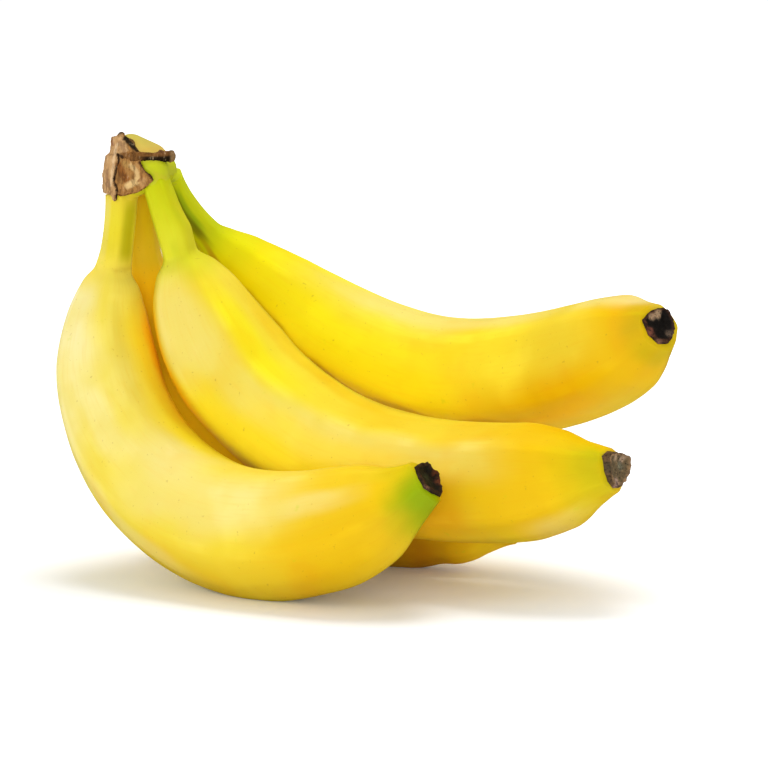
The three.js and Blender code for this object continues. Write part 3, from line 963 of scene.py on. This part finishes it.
class BUNCH_OT_flower_stubs(bpy.types.Operator):
    """Builds the dry flower stub on each finger's tip"""

    bl_idname = "bunch.flower_stubs"
    bl_label = "Flower stubs"

    def execute(self, context):
        material = stub_material()
        for name, finger in FINGERS.items():
            mesh = stub_mesh(f"stub_{name}", finger, STUBS[name])
            mesh.materials.append(material)
            piece = new_object(f"stub_{name}", mesh)
            finish_piece(piece, f"flower_stub_{name}")
        return {"FINISHED"}


# ---------------------------------------------------------------- crown

# The rind's colour on the crown's dome and on the dome's level top.
DOME_COLOUR = Vector((0.62, 0.42, 0.075))
DOME_TOP_COLOUR = Vector((0.50, 0.45, 0.06))
# The heights between which the dome's colour comes in, and those of its top.
DOME_HEIGHTS = (128.5, 132.5)
DOME_TOP_HEIGHTS = (131.5, 136.0)
# The sleeves that lead from the crown over each stalk: where one starts and ends along the stalk, how far it
# stands off the peel there, how much of that it has lost at its end, and how long its rounded start is.
SLEEVE_START = 0.6
SLEEVE_LENGTH = 8.0
SLEEVE_SIDES = 40
SLEEVE_LIFT = 0.3
SLEEVE_FALL = 0.75
SLEEVE_ROUNDING = 3.0
# The size of the crown's faces, and the rounds of smoothing that blend its knobs and sleeves.
CROWN_VOXEL = 0.33
CROWN_ROUNDS = 14
# The knobs that the crown's skin is drawn over, as a centre and a radius.
CROWN_KNOBS = (
    (FINGERS["front"]["root"], 4.7), (FINGERS["middle"]["root"], 5.3), (FINGERS["lower"]["root"], 5.0),
    ((-72.0, 22.5, 132.4), 5.2), ((-65.7, 24.0, 129.5), 5.1), ((-62.0, 27.0, 126.5), 4.0),
)


def crown_material():
    """The rind: its painted colour with a golden mottle."""
    material, n, shader = new_material("crown rind")
    spot = n.object_place()
    mottle = n.noise(spot, 260.0)
    paint = n.attribute("rind_colour")
    colour = n.mix(n.between(mottle, 0.5, 0.8, to_high=0.35), paint, (0.62, 0.36, 0.03, 1))
    finish_shader(n, shader, colour, 0.5, 0.35, (0.2, 0.0004, n.noise(spot, 900.0)))
    return material


def sleeve_rings(shape, finger):
    """The rings of points of the tapered sleeve round a finger's stalk."""
    rings = []
    for s, centre, _, inward, across, radius in stations_of(finger, 500):
        if not SLEEVE_START <= s <= SLEEVE_LENGTH:
            continue
        reach = radius + SLEEVE_LIFT - SLEEVE_FALL * (s / SLEEVE_LENGTH)
        reach *= math.sqrt(max(0.02, 1 - max(0, 1 - (s - 0.5) / SLEEVE_ROUNDING) ** 2))
        rings.append([
            shape.verts.new(centre + reach * (math.cos(a) * inward + math.sin(a) * across))
            for a in (2 * math.pi * k / SLEEVE_SIDES for k in range(SLEEVE_SIDES))
        ])
    return rings


def crown_shape():
    """The crown's skin drawn over its knobs, with a tapered sleeve that leads into each stalk."""
    shape = bmesh.new()
    for centre, radius in CROWN_KNOBS:
        made = bmesh.ops.create_icosphere(shape, subdivisions=4, radius=radius)["verts"]
        bmesh.ops.translate(shape, verts=made, vec=centre)
    hull = bmesh.ops.convex_hull(shape, input=shape.verts)
    inside = hull["geom_interior"] + hull["geom_unused"]
    loose = {item for item in inside if isinstance(item, bmesh.types.BMVert)}
    bmesh.ops.delete(shape, geom=list(loose), context="VERTS")
    for finger in FINGERS.values():
        rings = sleeve_rings(shape, finger)
        bridge(shape, rings)
        shape.faces.new(rings[0][::-1])
        shape.faces.new(rings[-1])
    bmesh.ops.scale(shape, verts=shape.verts, vec=(MM, MM, MM))
    return mesh_of(shape, "crown_body")


def paint_crown(piece, settings):
    """Colours each point after the stalk nearest to it, and the dome above them."""
    stalks = []
    for name, finger in FINGERS.items():
        stations = [row for row in stations_of(finger, 240) if row[0] <= SLEEVE_LENGTH + 3]
        stalks.append((name, stations[::4]))
    layer = piece.data.attributes.new("rind_colour", "FLOAT_COLOR", "POINT")
    for vertex, item in zip(piece.data.vertices, layer.data):
        place = vertex.co / MM
        total, weight = Vector((0, 0, 0)), 0.0
        for name, line in stalks:
            distance, (s, centre, _, inward, across, _) = min(
                (((place - row[1]).length, row) for row in line), key=lambda pair: pair[0])
            out = place - centre
            angle = math.degrees(math.atan2(out.dot(across), out.dot(inward)))
            # The nearest stalk counts by far the most, so the colours blend only halfway between two.
            share = 1 / (0.5 + distance) ** 5
            # The borrowed stalk colours bring their painted light and shade onto the crown.
            total += share * peel_colour(PEEL[name], s, angle, settings)
            weight += share
        colour = total / weight
        top = ramp(place.z, *DOME_TOP_HEIGHTS) * ramp(vertex.normal.z, 0.45, 0.85)
        colour = colour.lerp(DOME_COLOUR, eased(place.z, *DOME_HEIGHTS))
        colour = colour.lerp(DOME_TOP_COLOUR, 0.7 * top)
        item.color = (*colour, 1.0)


class BUNCH_OT_crown(bpy.types.Operator):
    """Builds the crown where the four stalks meet"""

    bl_idname = "bunch.crown"
    bl_label = "Crown"

    def execute(self, context):
        piece = new_object("crown_body", crown_shape())
        fine_surface(piece, CROWN_VOXEL * MM, CROWN_ROUNDS)
        paint_crown(piece, context.scene.bunch)
        piece.data.materials.append(crown_material())
        finish_piece(piece, "crown")
        return {"FINISHED"}


# ---------------------------------------------------------------- dried husk

# The torn outline of the husk as (X, Z), clockwise from its free-standing peak.
HUSK_OUTLINE = (
    (-74.8, 138.7), (-73.8, 138.1), (-73.5, 137.0), (-72.4, 136.5), (-71.0, 136.2), (-70.3, 135.2),
    (-69.9, 134.0), (-68.9, 132.8), (-68.0, 132.3), (-67.6, 130.5), (-68.2, 129.1), (-67.4, 128.3),
    (-66.5, 127.1), (-65.5, 126.1), (-64.4, 125.2), (-63.9, 124.1), (-64.3, 123.1), (-65.3, 122.4),
    (-66.4, 121.4), (-67.7, 120.4), (-68.8, 119.7), (-71.1, 119.0), (-73.9, 118.4), (-75.3, 118.3),
    (-76.0, 118.6), (-76.2, 117.8), (-76.8, 116.5), (-77.5, 116.8), (-77.8, 117.8), (-78.6, 118.6),
    (-79.7, 118.9), (-82.5, 119.1), (-83.5, 119.3), (-83.5, 131.3), (-79.2, 131.5), (-78.6, 132.9),
    (-78.4, 134.6), (-78.4, 136.6), (-77.3, 136.8), (-76.4, 137.2), (-75.7, 138.3),
)
# The strap that lies over the husk's plate on the left, closed off far to the left.
STRAP_OUTLINE = (
    (-74.4, 139.5), (-74.4, 137.1), (-72.9, 134.6), (-72.0, 132.6), (-73.6, 131.9), (-75.6, 131.2),
    (-75.4, 129.6), (-76.2, 127.6), (-76.6, 125.1), (-77.1, 123.2), (-76.8, 122.0), (-76.2, 120.8),
    (-76.2, 115.0), (-90.0, 115.0), (-90.0, 139.5),
)
# Lines across the husk as (X, Z): the plate's rolled right rim, the pit above it, painted near-black as
# shade, the bared flesh that lies between them, and the plate's lower edge.
PLATE_RIM = ((-68.5, 129.0), (-67.3, 127.8), (-66.2, 126.5), (-65.1, 125.2), (-64.5, 124.1))
PIT = ((-73.4, 136.4), (-72.0, 134.9), (-70.6, 133.6), (-69.6, 132.9))
FLESH = ((-74.0, 131.2), (-71.0, 130.9), (-68.0, 130.7))
LOWER_EDGE = ((-76.0, 118.7), (-74.0, 118.5), (-71.1, 119.1), (-68.8, 119.8), (-66.4, 121.5))

# The husk's points lie on a grid round an upright axis at (X, Y): the angles and the heights that the grid
# spans, the distance between two points, and the radius at which the columns have that distance.
HUSK_AXIS = (-72.0, 24.5)
HUSK_SPAN = (158.0, 318.0)
HUSK_HEIGHTS = (115.8, 139.2)
HUSK_STEP = 0.22
HUSK_RADIUS = 9.5
# How far back the husk reaches, and its thickness.
HUSK_BACK = 26.0
HUSK_THICKNESS = 0.75
# Below its foot and above its shoulder the husk hangs or stands free of the crown, and comes this much nearer
# to the axis with each millimetre.
HUSK_FOOT = 119.5
HUSK_SHOULDER = 132.0
HUSK_TAPER = 0.12
# How far from the axis the crown is looked for, and the reach where there is none.
LOOK_FROM = 40.0
NO_CROWN = 0.5

# Colours laid on along lines: colour, half width in millimetres, strength and the line's points as (X, Z).
HUSK_PAINT = (
    ((0.46, 0.28, 0.10), 1.2, 0.8, ((-73.5, 128.6), (-71.0, 127.6))),
    ((0.27, 0.10, 0.025), 1.4, 0.9, ((-75.6, 128.0), (-74.6, 125.8), (-73.0, 123.6))),
    # Painted highlights: the two pale cream strokes on the plate.
    ((0.66, 0.46, 0.24), 1.0, 0.9, ((-71.6, 128.0), (-69.7, 126.7), (-69.3, 124.6))),
    ((0.72, 0.52, 0.28), 1.3, 0.95, ((-69.6, 123.2), (-71.2, 122.4), (-72.6, 121.6))),
    ((0.30, 0.13, 0.05), 0.5, 0.8, ((-68.2, 125.6), (-67.9, 123.8), (-69.2, 123.3))),
    ((0.50, 0.30, 0.15), 1.0, 0.7, ((-67.2, 123.6), (-68.2, 122.2))),
    ((0.20, 0.09, 0.03), 1.2, 0.9, FLESH),
    # Painted highlight along the strap's flared left edge.
    ((0.72, 0.52, 0.36), 0.55, 0.9,
     ((-75.9, 134.6), (-76.9, 131.5), (-77.2, 127.9), (-77.6, 124.8), (-78.1, 121.6))),
    ((0.26, 0.12, 0.07), 0.7, 0.8, ((-78.0, 136.0), (-77.4, 134.6))),
    ((0.34, 0.20, 0.12), 0.8, 0.7, ((-74.8, 135.0), (-73.6, 132.8))),
    ((0.30, 0.17, 0.11), 0.7, 0.7, ((-79.3, 126.0), (-79.2, 121.5))),
    ((0.12, 0.09, 0.07), 0.8, 0.9, ((-75.4, 138.2), (-74.5, 138.2))),
    # Painted shade: the near-black pit, in the recess below the dome.
    ((0.016, 0.012, 0.007), 0.95, 1.0, PIT),
    ((0.13, 0.07, 0.025), 0.45, 0.9, ((-72.0, 136.2), (-70.5, 135.3), (-69.3, 133.2))),
    # Painted shade: the dark underside of the plate's rolled rim.
    ((0.05, 0.018, 0.006), 0.75, 1.0, PLATE_RIM),
    # Painted shadow: the dark line under the plate's lifted lower edge.
    ((0.13, 0.035, 0.008), 0.35, 1.0, LOWER_EDGE),
    # Painted shadow: the dark line that the raised strap casts along its edge onto the plate.
    ((0.02, 0.008, 0.003), 0.42, 1.0, STRAP_OUTLINE[5:13]),
    ((0.03, 0.014, 0.006), 0.5, 0.9, ((-75.8, 131.2), (-74.4, 130.6))),
)
PLATE_COLOUR = Vector((0.42, 0.215, 0.075))
STRAP_COLOUR = Vector((0.52, 0.32, 0.17))


def distance_to_line(x, z, line):
    """The shortest distance from (x, z) to a line of points."""
    best = 1e9
    for (ax, az), (bx, bz) in zip(line, line[1:]):
        dx, dz = bx - ax, bz - az
        t = min(1, max(0, ((x - ax) * dx + (z - az) * dz) / (dx * dx + dz * dz)))
        best = min(best, math.hypot(x - ax - t * dx, z - az - t * dz))
    return best


def depth_inside(x, z, outline):
    """How far (x, z) lies inside a closed outline, negative outside it."""
    inside = False
    for (ax, az), (bx, bz) in zip(outline, outline[1:] + outline[:1]):
        if (az > z) != (bz > z) and x < ax + (z - az) / (bz - az) * (bx - ax):
            inside = not inside
    distance = distance_to_line(x, z, outline + outline[:1])
    return distance if inside else -distance


def husk_relief(x, y, z):
    """How far the husk's outer face stands off the crown, in millimetres."""
    strap = eased(depth_inside(x, z, STRAP_OUTLINE), -0.15, 0.35)
    plate = 1 - strap
    rim = distance_to_line(x, z, PLATE_RIM)
    # The skin itself, thicker in the strap, which flares out along its left edge.
    height = 0.55 + 0.85 * strap
    height += eased(z, 119.5, 127.5) * (1 - eased(z, 130.6, 131.7)) * eased(-x, 75.6, 77.4)
    # The plate's rolled right rim, the fold across its top, its swollen lower edge and the pit.
    height += hump(rim, 0.75)
    height += 0.7 * hump(z - 130.9, 1.2) * eased(x, -75.5, -72.0) * plate
    height += 0.6 * (1 - eased(distance_to_line(x, z, LOWER_EDGE), 0.0, 1.3)) * plate
    height -= 0.5 * hump(distance_to_line(x, z, PIT), 0.9) * plate
    # Upright fibres on the strap, arcs that follow the rim on the plate, and lumps and pits on both.
    fibre = noise.noise(Vector((x * 1.7, y * 1.2, z * 0.22)))
    arcs = noise.noise(Vector((rim * 1.5, 3.0, z * 0.3 + 7.0)))
    lump = noise.noise(Vector((x * 0.55, y * 0.55, z * 0.4 + 20)))
    pits = noise.noise(Vector((x * 2.6, y * 2.6, z * 1.6)))
    height += 0.30 * fibre * strap + (0.32 * arcs + 0.12 * fibre) * plate + 0.35 * lump + 0.14 * pits
    return max(0.3, height)


def husk_colour(x, y, z):
    """The husk's painted colour: strap or plate, with the lines of paint laid over them."""
    strap = eased(depth_inside(x, z, STRAP_OUTLINE), -0.1, 0.2)
    colour = PLATE_COLOUR.lerp(STRAP_COLOUR, strap)
    # Some of these lines are painted highlights and painted shade, as marked in the table.
    for paint, width, strength, line in HUSK_PAINT:
        wander = 0.35 * noise.noise(Vector((x * 1.1, y, z * 0.8)))
        share = strength * (1 - eased(distance_to_line(x, z, line) + wander, 0.45 * width, 1.15 * width))
        if share > 0:
            colour = colour.lerp(Vector(paint), share)
    return colour


def drawn_taut(turns, reach):
    """The row's reaches with its hollows bridged, as a film drawn tight round the crown bridges them."""
    points = [(reach[i] * turn.x, reach[i] * turn.y) for i, turn in enumerate(turns)]
    hull = []
    for i, (px, py) in enumerate(points):
        while len(hull) > 1:
            (ax, ay), (bx, by) = points[hull[-2]], points[hull[-1]]
            if (bx - ax) * (py - ay) - (by - ay) * (px - ax) > 0:
                break
            hull.pop()
        hull.append(i)
    taut = list(reach)
    for a, b in zip(hull, hull[1:]):
        (ax, ay), (bx, by) = points[a], points[b]
        for i in range(a + 1, b):
            turn = turns[i]
            taut[i] = (ax * (by - ay) - ay * (bx - ax)) / (turn.x * (by - ay) - turn.y * (bx - ax))
    return taut


def husk_grid():
    """The directions of the husk's columns and the heights of its rows."""
    start, end = HUSK_SPAN
    columns = int(math.radians(end - start) * HUSK_RADIUS / HUSK_STEP)
    rows = int((HUSK_HEIGHTS[1] - HUSK_HEIGHTS[0]) / HUSK_STEP)
    turns = []
    for i in range(columns):
        angle = math.radians(start + (end - start) * i / (columns - 1))
        turns.append(Vector((math.cos(angle), math.sin(angle), 0)))
    return turns, [HUSK_HEIGHTS[0] + HUSK_STEP * j for j in range(rows)]


def softened(grid):
    """The grid with each value averaged with its four neighbours."""
    columns, rows = len(grid), len(grid[0])
    return [
        [(grid[max(0, i - 1)][j] + grid[min(columns - 1, i + 1)][j] + grid[i][max(0, j - 1)]
          + grid[i][min(rows - 1, j + 1)] + grid[i][j]) / 5 for j in range(rows)]
        for i in range(columns)
    ]


def crown_reach(crown, turns, heights):
    """The distance from the husk's axis to the crown, for each column and row, drawn taut and softened."""
    corners = [v.co / MM for v in crown.data.vertices]
    skin = BVHTree.FromPolygons(corners, [p.vertices for p in crown.data.polygons])
    foot = next(k for k, z in enumerate(heights) if z > HUSK_FOOT)
    reach = []
    for turn in turns:
        column = []
        for z in heights:
            start = Vector((*HUSK_AXIS, z)) + LOOK_FROM * turn
            hit = skin.ray_cast(start, -turn, LOOK_FROM)[0]
            column.append((hit - start + LOOK_FROM * turn).dot(turn) if hit else NO_CROWN)
        for k in range(foot):
            column[k] = max(column[k], column[foot] - HUSK_TAPER * (heights[foot] - heights[k]))
        reach.append(column)
    for j in range(len(heights)):
        for i, value in enumerate(drawn_taut(turns, [column[j] for column in reach])):
            reach[i][j] = value
    for _ in range(3):
        reach = softened(reach)
    return reach


def husk_point(turn, z, near, upright):
    """A point of the husk: its outer and inner place, its colour, and whether the torn outline keeps it.

    `near` is the crown's reach there, and `upright` the reach of a part that stands free.
    """
    x = HUSK_AXIS[0] + upright * turn.x
    stands = eased(depth_inside(x, z, STRAP_OUTLINE), -0.3, 0.9)
    base = near + (upright - near) * stands
    place = Vector((*HUSK_AXIS, z)) + base * turn
    rise = husk_relief(*(place + 0.9 * turn))
    outer = place + rise * turn
    inner = place + max(rise - HUSK_THICKNESS, -0.3) * turn
    # The outline is torn: it strays in slow waves and in small nicks.
    ragged = 0.22 * noise.noise(Vector((place.x * 1.3, place.y * 1.3, z * 1.3)))
    ragged += 0.14 * noise.noise(Vector((place.x * 4, place.y * 4, z * 4)))
    back = HUSK_BACK - place.y + 1.6 * noise.noise(Vector((1.0, 2.0, z * 0.5)))
    kept = min(depth_inside(outer.x, z, HUSK_OUTLINE), back) + ragged > 0
    return outer, inner, husk_colour(outer.x, place.y, z), kept


def soften_edge(sheets, edges):
    """Evens out the torn edge of both faces of the husk, whose steps follow the grid."""
    touching = {}
    for a, b in edges:
        touching.setdefault(a, []).append(b)
        touching.setdefault(b, []).append(a)
    for _ in range(3):
        for sheet in sheets:
            moved = {}
            for corner, others in touching.items():
                mean = sum((sheet[o].co for o in others), Vector()) / len(others)
                moved[corner] = sheet[corner].co.lerp(mean, 0.5)
            for corner, co in moved.items():
                sheet[corner].co = co


def husk_mesh(name, crown):
    """A closed torn sheet wrapped round the crown's cut side, with its own relief and painted colour."""
    turns, heights = husk_grid()
    reach = crown_reach(crown, turns, heights)
    shoulder = next(k for k, z in enumerate(heights) if z > HUSK_SHOULDER)
    points = {}
    for i, turn in enumerate(turns):
        for j, z in enumerate(heights):
            near = upright = reach[i][j]
            if j > shoulder:
                upright = max(near, reach[i][shoulder] - HUSK_TAPER * (z - heights[shoulder]))
            points[i, j] = husk_point(turn, z, near, upright)

    shape = bmesh.new()
    layer = shape.verts.layers.float_color.new("husk_colour")
    front, back, cells, edges = {}, {}, [], {}
    for i in range(len(turns) - 1):
        for j in range(len(heights) - 1):
            loop = ((i, j), (i + 1, j), (i + 1, j + 1), (i, j + 1))
            if all(points[corner][3] for corner in loop):
                cells.append(loop)
    for loop in cells:
        for corner in loop:
            if corner not in front:
                outer, inner, colour, _ = points[corner]
                front[corner] = shape.verts.new(outer)
                back[corner] = shape.verts.new(inner)
                front[corner][layer] = (*colour, 1.0)
                back[corner][layer] = (*(colour * 0.4), 1.0)
    for loop in cells:
        shape.faces.new([front[corner] for corner in loop])
        shape.faces.new([back[corner] for corner in reversed(loop)])
        for a, b in zip(loop, loop[1:] + loop[:1]):
            if (b, a) in edges:
                del edges[b, a]
            else:
                edges[a, b] = True
    for a, b in edges:
        shape.faces.new((front[b], front[a], back[a], back[b]))
    soften_edge((front, back), edges)
    bmesh.ops.scale(shape, verts=shape.verts, vec=(MM, MM, MM))
    turn_outwards(shape)
    return mesh_of(shape, name)


# What the dried skin's own tan takes from every painted colour, and its paler fibres.
TAN_TINT = (0.99, 0.92, 0.71, 1.0)
PALE_FIBRE = (0.80, 0.58, 0.33, 1)


def dry_material(name, attribute, speckle, scale):
    """Dried tissue: its painted colour, broken up by fibres and darker specks."""
    material, n, shader = new_material(name)
    paint = n.tinted(n.attribute(attribute), TAN_TINT)
    drawn_out = n.vector("MULTIPLY", n.object_place(), (1.0, 1.0, 0.28))
    fibres = n.noise(drawn_out, scale, 4.0, roughness=0.65)
    specks = n.between(fibres, 0.35, 0.55, 0.75, 0.0)
    colour = n.mix(specks, paint, n.mix(0.72, paint, rgba(speckle)))
    colour = n.mix(n.between(fibres, 0.55, 0.75, to_high=0.4), colour, PALE_FIBRE)
    finish_shader(n, shader, colour, 0.8, 0.12, (0.8, 0.0006, fibres))
    return material


class BUNCH_OT_husk(bpy.types.Operator):
    """Builds the torn, dried husk over the crown's cut side"""

    bl_idname = "bunch.husk"
    bl_label = "Crown husk"

    def execute(self, context):
        mesh = husk_mesh("crown_dry_husk", bpy.data.objects["crown_body"])
        mesh.materials.append(dry_material("dry husk", "husk_colour", (0.05, 0.02, 0.008), 900.0))
        finish_piece(new_object("crown_dry_husk", mesh), "crown_husk")
        return {"FINISHED"}


# ---------------------------------------------------------------- dried scar

SCAR_PATH = (
    (-72.5, 16.6, 130.6), (-70.0, 14.6, 130.7), (-66.0, 13.7, 130.7), (-62.0, 14.6, 130.7),
    (-58.4, 16.8, 130.9),
)
SCAR_RINGS = 90
SCAR_SIDES = 40
SCAR_RADIUS = 1.7
# A knob that stands out of the ridge near its right end.
SCAR_KNOB = Vector((-62.2, 15.0, 132.2))
# The ridge's colours: its upper side, its underside, near-black as painted shade, its knob, its dry right
# end, and the lip and the middle of both broken ends.
SCAR_TOP = Vector((0.20, 0.09, 0.028))
SCAR_SHADED_UNDERSIDE = Vector((0.014, 0.008, 0.003))
SCAR_KNOB_COLOUR = Vector((0.13, 0.06, 0.045))
SCAR_END = Vector((0.22, 0.14, 0.08))
SCAR_LIP = (0.30, 0.20, 0.12, 1.0)
SCAR_CORE = (0.10, 0.05, 0.02, 1.0)


def along_path(path, share):
    """The place at a share of the way along a smooth path through the points, and the path's direction."""
    t = share * (len(path) - 1)
    k = min(len(path) - 2, int(t))
    f = t - k
    before, after = path[max(0, k - 1)], path[min(len(path) - 1, k + 2)]
    a, b = path[k], path[k + 1]
    place = 0.5 * ((2 * a) + (b - before) * f + (2 * before - 5 * a + 4 * b - after) * f * f
                   + (3 * a - before - 3 * b + after) * f ** 3)
    return place, ((b - before).lerp(after - a, f)).normalized()


def scar_colour(place, angle, share):
    """The ridge's colour: painted shade beneath on its right half, purplish on the knob, pale at the right
    end.
    """
    # Painted shade: the underside darkens, on the right half of the ridge.
    low = eased(-math.sin(angle), -0.55, 0.05) * eased(share, 0.25, 0.5)
    colour = SCAR_TOP.lerp(SCAR_SHADED_UNDERSIDE, low)
    colour = colour.lerp(SCAR_KNOB_COLOUR, hump((place - SCAR_KNOB).length, 1.3))
    colour = colour.lerp(SCAR_END, eased(share, 0.86, 0.92))
    return (*colour, 1.0)


def scar_mesh(name):
    """A withered ridge along the cut: rough, with painted shade beneath, and a flat dry end."""
    path = [Vector(p) for p in SCAR_PATH]
    up = Vector((0, 0, 1))
    shape = bmesh.new()
    paint = shape.verts.layers.float_color.new("scar_colour")
    rings = []
    for i in range(SCAR_RINGS):
        share = i / (SCAR_RINGS - 1)
        centre, along = along_path(path, share)
        out = along.cross(up).normalized()
        # The ridge swells and narrows along its way, and widens at its dry end.
        girth = SCAR_RADIUS * (0.9 + 0.06 * math.sin(9 * share))
        if share > 0.88:
            girth *= 1 + 0.12 * eased(share, 0.88, 0.93)
        ring = []
        for k in range(SCAR_SIDES):
            angle = 2 * math.pi * k / SCAR_SIDES
            turn = math.cos(angle) * out + math.sin(angle) * up
            # It is rough, a little taller than wide, and has a knob.
            spot = centre + turn * 1.5
            rough = 0.35 * noise.noise(spot * 0.75) + 0.18 * noise.noise(spot * 2.2)
            place = centre + turn * (girth * (1 - 0.16 * abs(math.cos(angle))) + rough)
            place += turn * 0.8 * hump((place - SCAR_KNOB).length, 1.1)
            point = shape.verts.new(place * MM)
            point[paint] = scar_colour(place, angle, share)
            ring.append(point)
        rings.append(ring)
    bridge(shape, rings)
    for ring in (rings[0], rings[-1]):
        middle = sum((point.co for point in ring), Vector()) / SCAR_SIDES
        lip = [shape.verts.new(point.co.lerp(middle, 0.3)) for point in ring]
        for point in lip:
            point[paint] = SCAR_LIP
        pole = shape.verts.new(middle)
        pole[paint] = SCAR_CORE
        bridge(shape, (ring, lip))
        for k in range(SCAR_SIDES):
            shape.faces.new((lip[k], lip[(k + 1) % SCAR_SIDES], pole))
    turn_outwards(shape)
    return mesh_of(shape, name)


class BUNCH_OT_scar(bpy.types.Operator):
    """Builds the dark dried ridge that lies across the crown's front"""

    bl_idname = "bunch.scar"
    bl_label = "Crown scar"

    def execute(self, context):
        mesh = scar_mesh("crown_dry_ridge")
        mesh.materials.append(dry_material("dry scar", "scar_colour", (0.01, 0.005, 0.002), 700.0))
        finish_piece(new_object("crown_dry_ridge", mesh), "crown_scar")
        return {"FINISHED"}


# ---------------------------------------------------------------- stage

# The camera looks at its target from the front, a little above the level.
CAMERA_TARGET = Vector((7.5, 7.0, 60.3)) * MM
CAMERA_DISTANCE = 1.0
CAMERA_RISE = math.radians(7.5)
CAMERA_LENS = 150
SENSOR_WIDTH = 36

# The pale floor's half width in metres and its colour. It glows a little, for the camera alone. The glow's
# centre is below the bunch, and each ring of it is: from, to (in metres), glow at its start, glow at its end.
FLOOR_REACH = 8.0
FLOOR_COLOUR = (0.93, 0.95, 0.98, 1)
GLOW_CENTRE = (0.045, 0.01, 0.0)
GLOW_RINGS = ((0.08, 0.17, 0.05, 0.26), (0.3, 1.6, 0.0, 0.5))
# How brightly each kind of ray sees the white world.
WORLD_STRENGTHS = (("Is Camera Ray", 1.05), ("Is Diffuse Ray", 0.66), ("Is Glossy Ray", 0.01))
# Name, place in metres, size in metres, power in watts, and whether only glossy surfaces see it.
LIGHTS = (
    ("key", (-1.2, -1.0, 0.9), 0.8, 4.0, False),
    ("top", (0.1, 0.5, 1.7), 1.0, 18.0, False),
    ("fill", (-0.05, -1.35, 0.3), 0.5, 5.0, False),
    ("rim", (-1.3, 0.55, 0.25), 0.8, 3.5, False),
    ("edge", (1.1, 0.9, 0.7), 0.8, 2.5, False),
    ("sheen", (-1.5, -0.8, 0.7), 1.2, 3.5, True),
)


def aimed(direction):
    """The turn that points a lamp or a camera in a direction."""
    return direction.to_track_quat("-Z", "Y").to_euler()


def lay_floor():
    """The pale floor, with a soft glow that only the camera sees."""
    material, n, shader = new_material("pale floor")
    shader.inputs["Base Color"].default_value = FLOOR_COLOUR
    shader.inputs["Roughness"].default_value = 0.6
    shader.inputs["Specular IOR Level"].default_value = 0.2
    # Painted light: the camera-only glow grows with the distance from the bunch, lifting the floor's cast
    # shadow where it spreads out and whitening the far floor.
    far = n.vector("LENGTH", n.vector("ADD", n.object_place(), GLOW_CENTRE))
    painted_glow = n.plus(*(n.between(far, *ring) for ring in GLOW_RINGS))
    seen = n.add("ShaderNodeLightPath").outputs["Is Camera Ray"]
    put(shader.inputs["Emission Strength"], n.times(seen, painted_glow))
    shader.inputs["Emission Color"].default_value = (1, 1, 1, 1)

    size = FLOOR_REACH
    mesh = bpy.data.meshes.new("floor")
    corners = [(-size, -size, 0), (size, -size, 0), (size, size, 0), (-size, size, 0)]
    mesh.from_pydata(corners, [], [(0, 1, 2, 3)])
    mesh.materials.append(material)
    floor = new_object("floor", mesh)
    floor.visible_glossy = False


def light_world(scene):
    """The white world: bright behind the bunch, dimmer as the light that falls on it."""
    world = bpy.data.worlds.new("soft white")
    world.use_nodes = True
    n = Tree(world.node_tree)
    rays = n.add("ShaderNodeLightPath").outputs
    strength = 0.0
    for ray, share in WORLD_STRENGTHS:
        strength = n.plus(strength, n.times(rays[ray], share))
    background = world.node_tree.nodes["Background"]
    background.inputs["Color"].default_value = (1, 1, 1, 1)
    put(background.inputs["Strength"], strength)
    scene.world = world


def hang_lamps(scene):
    """The round soft lamps, all turned to the bunch."""
    for name, place, size, power, glossy_only in LIGHTS:
        light = bpy.data.lights.new(name, "AREA")
        light.shape = "DISK"
        light.size = size
        light.energy = power
        lamp = bpy.data.objects.new(name, light)
        lamp.location = place
        lamp.rotation_euler = aimed(CAMERA_TARGET - Vector(place))
        lamp.visible_diffuse = not glossy_only
        lamp.visible_glossy = glossy_only
        scene.collection.objects.link(lamp)


def place_camera(scene):
    """The camera in front of the bunch."""
    camera = bpy.data.objects.new("camera", bpy.data.cameras.new("camera"))
    camera.data.lens = CAMERA_LENS
    camera.data.sensor_width = SENSOR_WIDTH
    camera.data.clip_end = 50
    back = Vector((0, -math.cos(CAMERA_RISE), math.sin(CAMERA_RISE)))
    camera.location = CAMERA_TARGET + CAMERA_DISTANCE * back
    camera.rotation_euler = aimed(-back)
    scene.collection.objects.link(camera)
    scene.camera = camera


class BUNCH_OT_stage(bpy.types.Operator):
    """Sets up the pale floor, the soft light and the camera"""

    bl_idname = "bunch.stage"
    bl_label = "Stage"

    def execute(self, context):
        scene = context.scene
        scene.view_settings.view_transform = "Standard"
        lay_floor()
        light_world(scene)
        hang_lamps(scene)
        place_camera(scene)
        return {"FINISHED"}


# ---------------------------------------------------------------- add-on

STEPS = (
    BUNCH_OT_fingers, BUNCH_OT_flower_stubs, BUNCH_OT_crown, BUNCH_OT_husk, BUNCH_OT_scar, BUNCH_OT_stage,
)


class BUNCH_PT_panel(bpy.types.Panel):
    """The bunch's pieces, in the order in which they are built"""

    bl_label = "Bunch of bananas"
    bl_idname = "BUNCH_PT_panel"
    bl_space_type = "VIEW_3D"
    bl_region_type = "UI"
    bl_category = "Bananas"

    def draw(self, context):
        for step in STEPS:
            self.layout.operator(step.bl_idname)


CLASSES = (BunchSettings, *STEPS, BUNCH_PT_panel)


def register():
    for cls in CLASSES:
        bpy.utils.register_class(cls)
    bpy.types.Scene.bunch = PointerProperty(type=BunchSettings)


def unregister():
    del bpy.types.Scene.bunch
    for cls in reversed(CLASSES):
        bpy.utils.unregister_class(cls)


def main():
    register()
    bpy.ops.bunch.fingers()
    bpy.ops.bunch.flower_stubs()
    bpy.ops.bunch.crown()
    bpy.ops.bunch.husk()
    bpy.ops.bunch.scar()
    bpy.ops.bunch.stage()


if __name__ == "__main__":
    main()
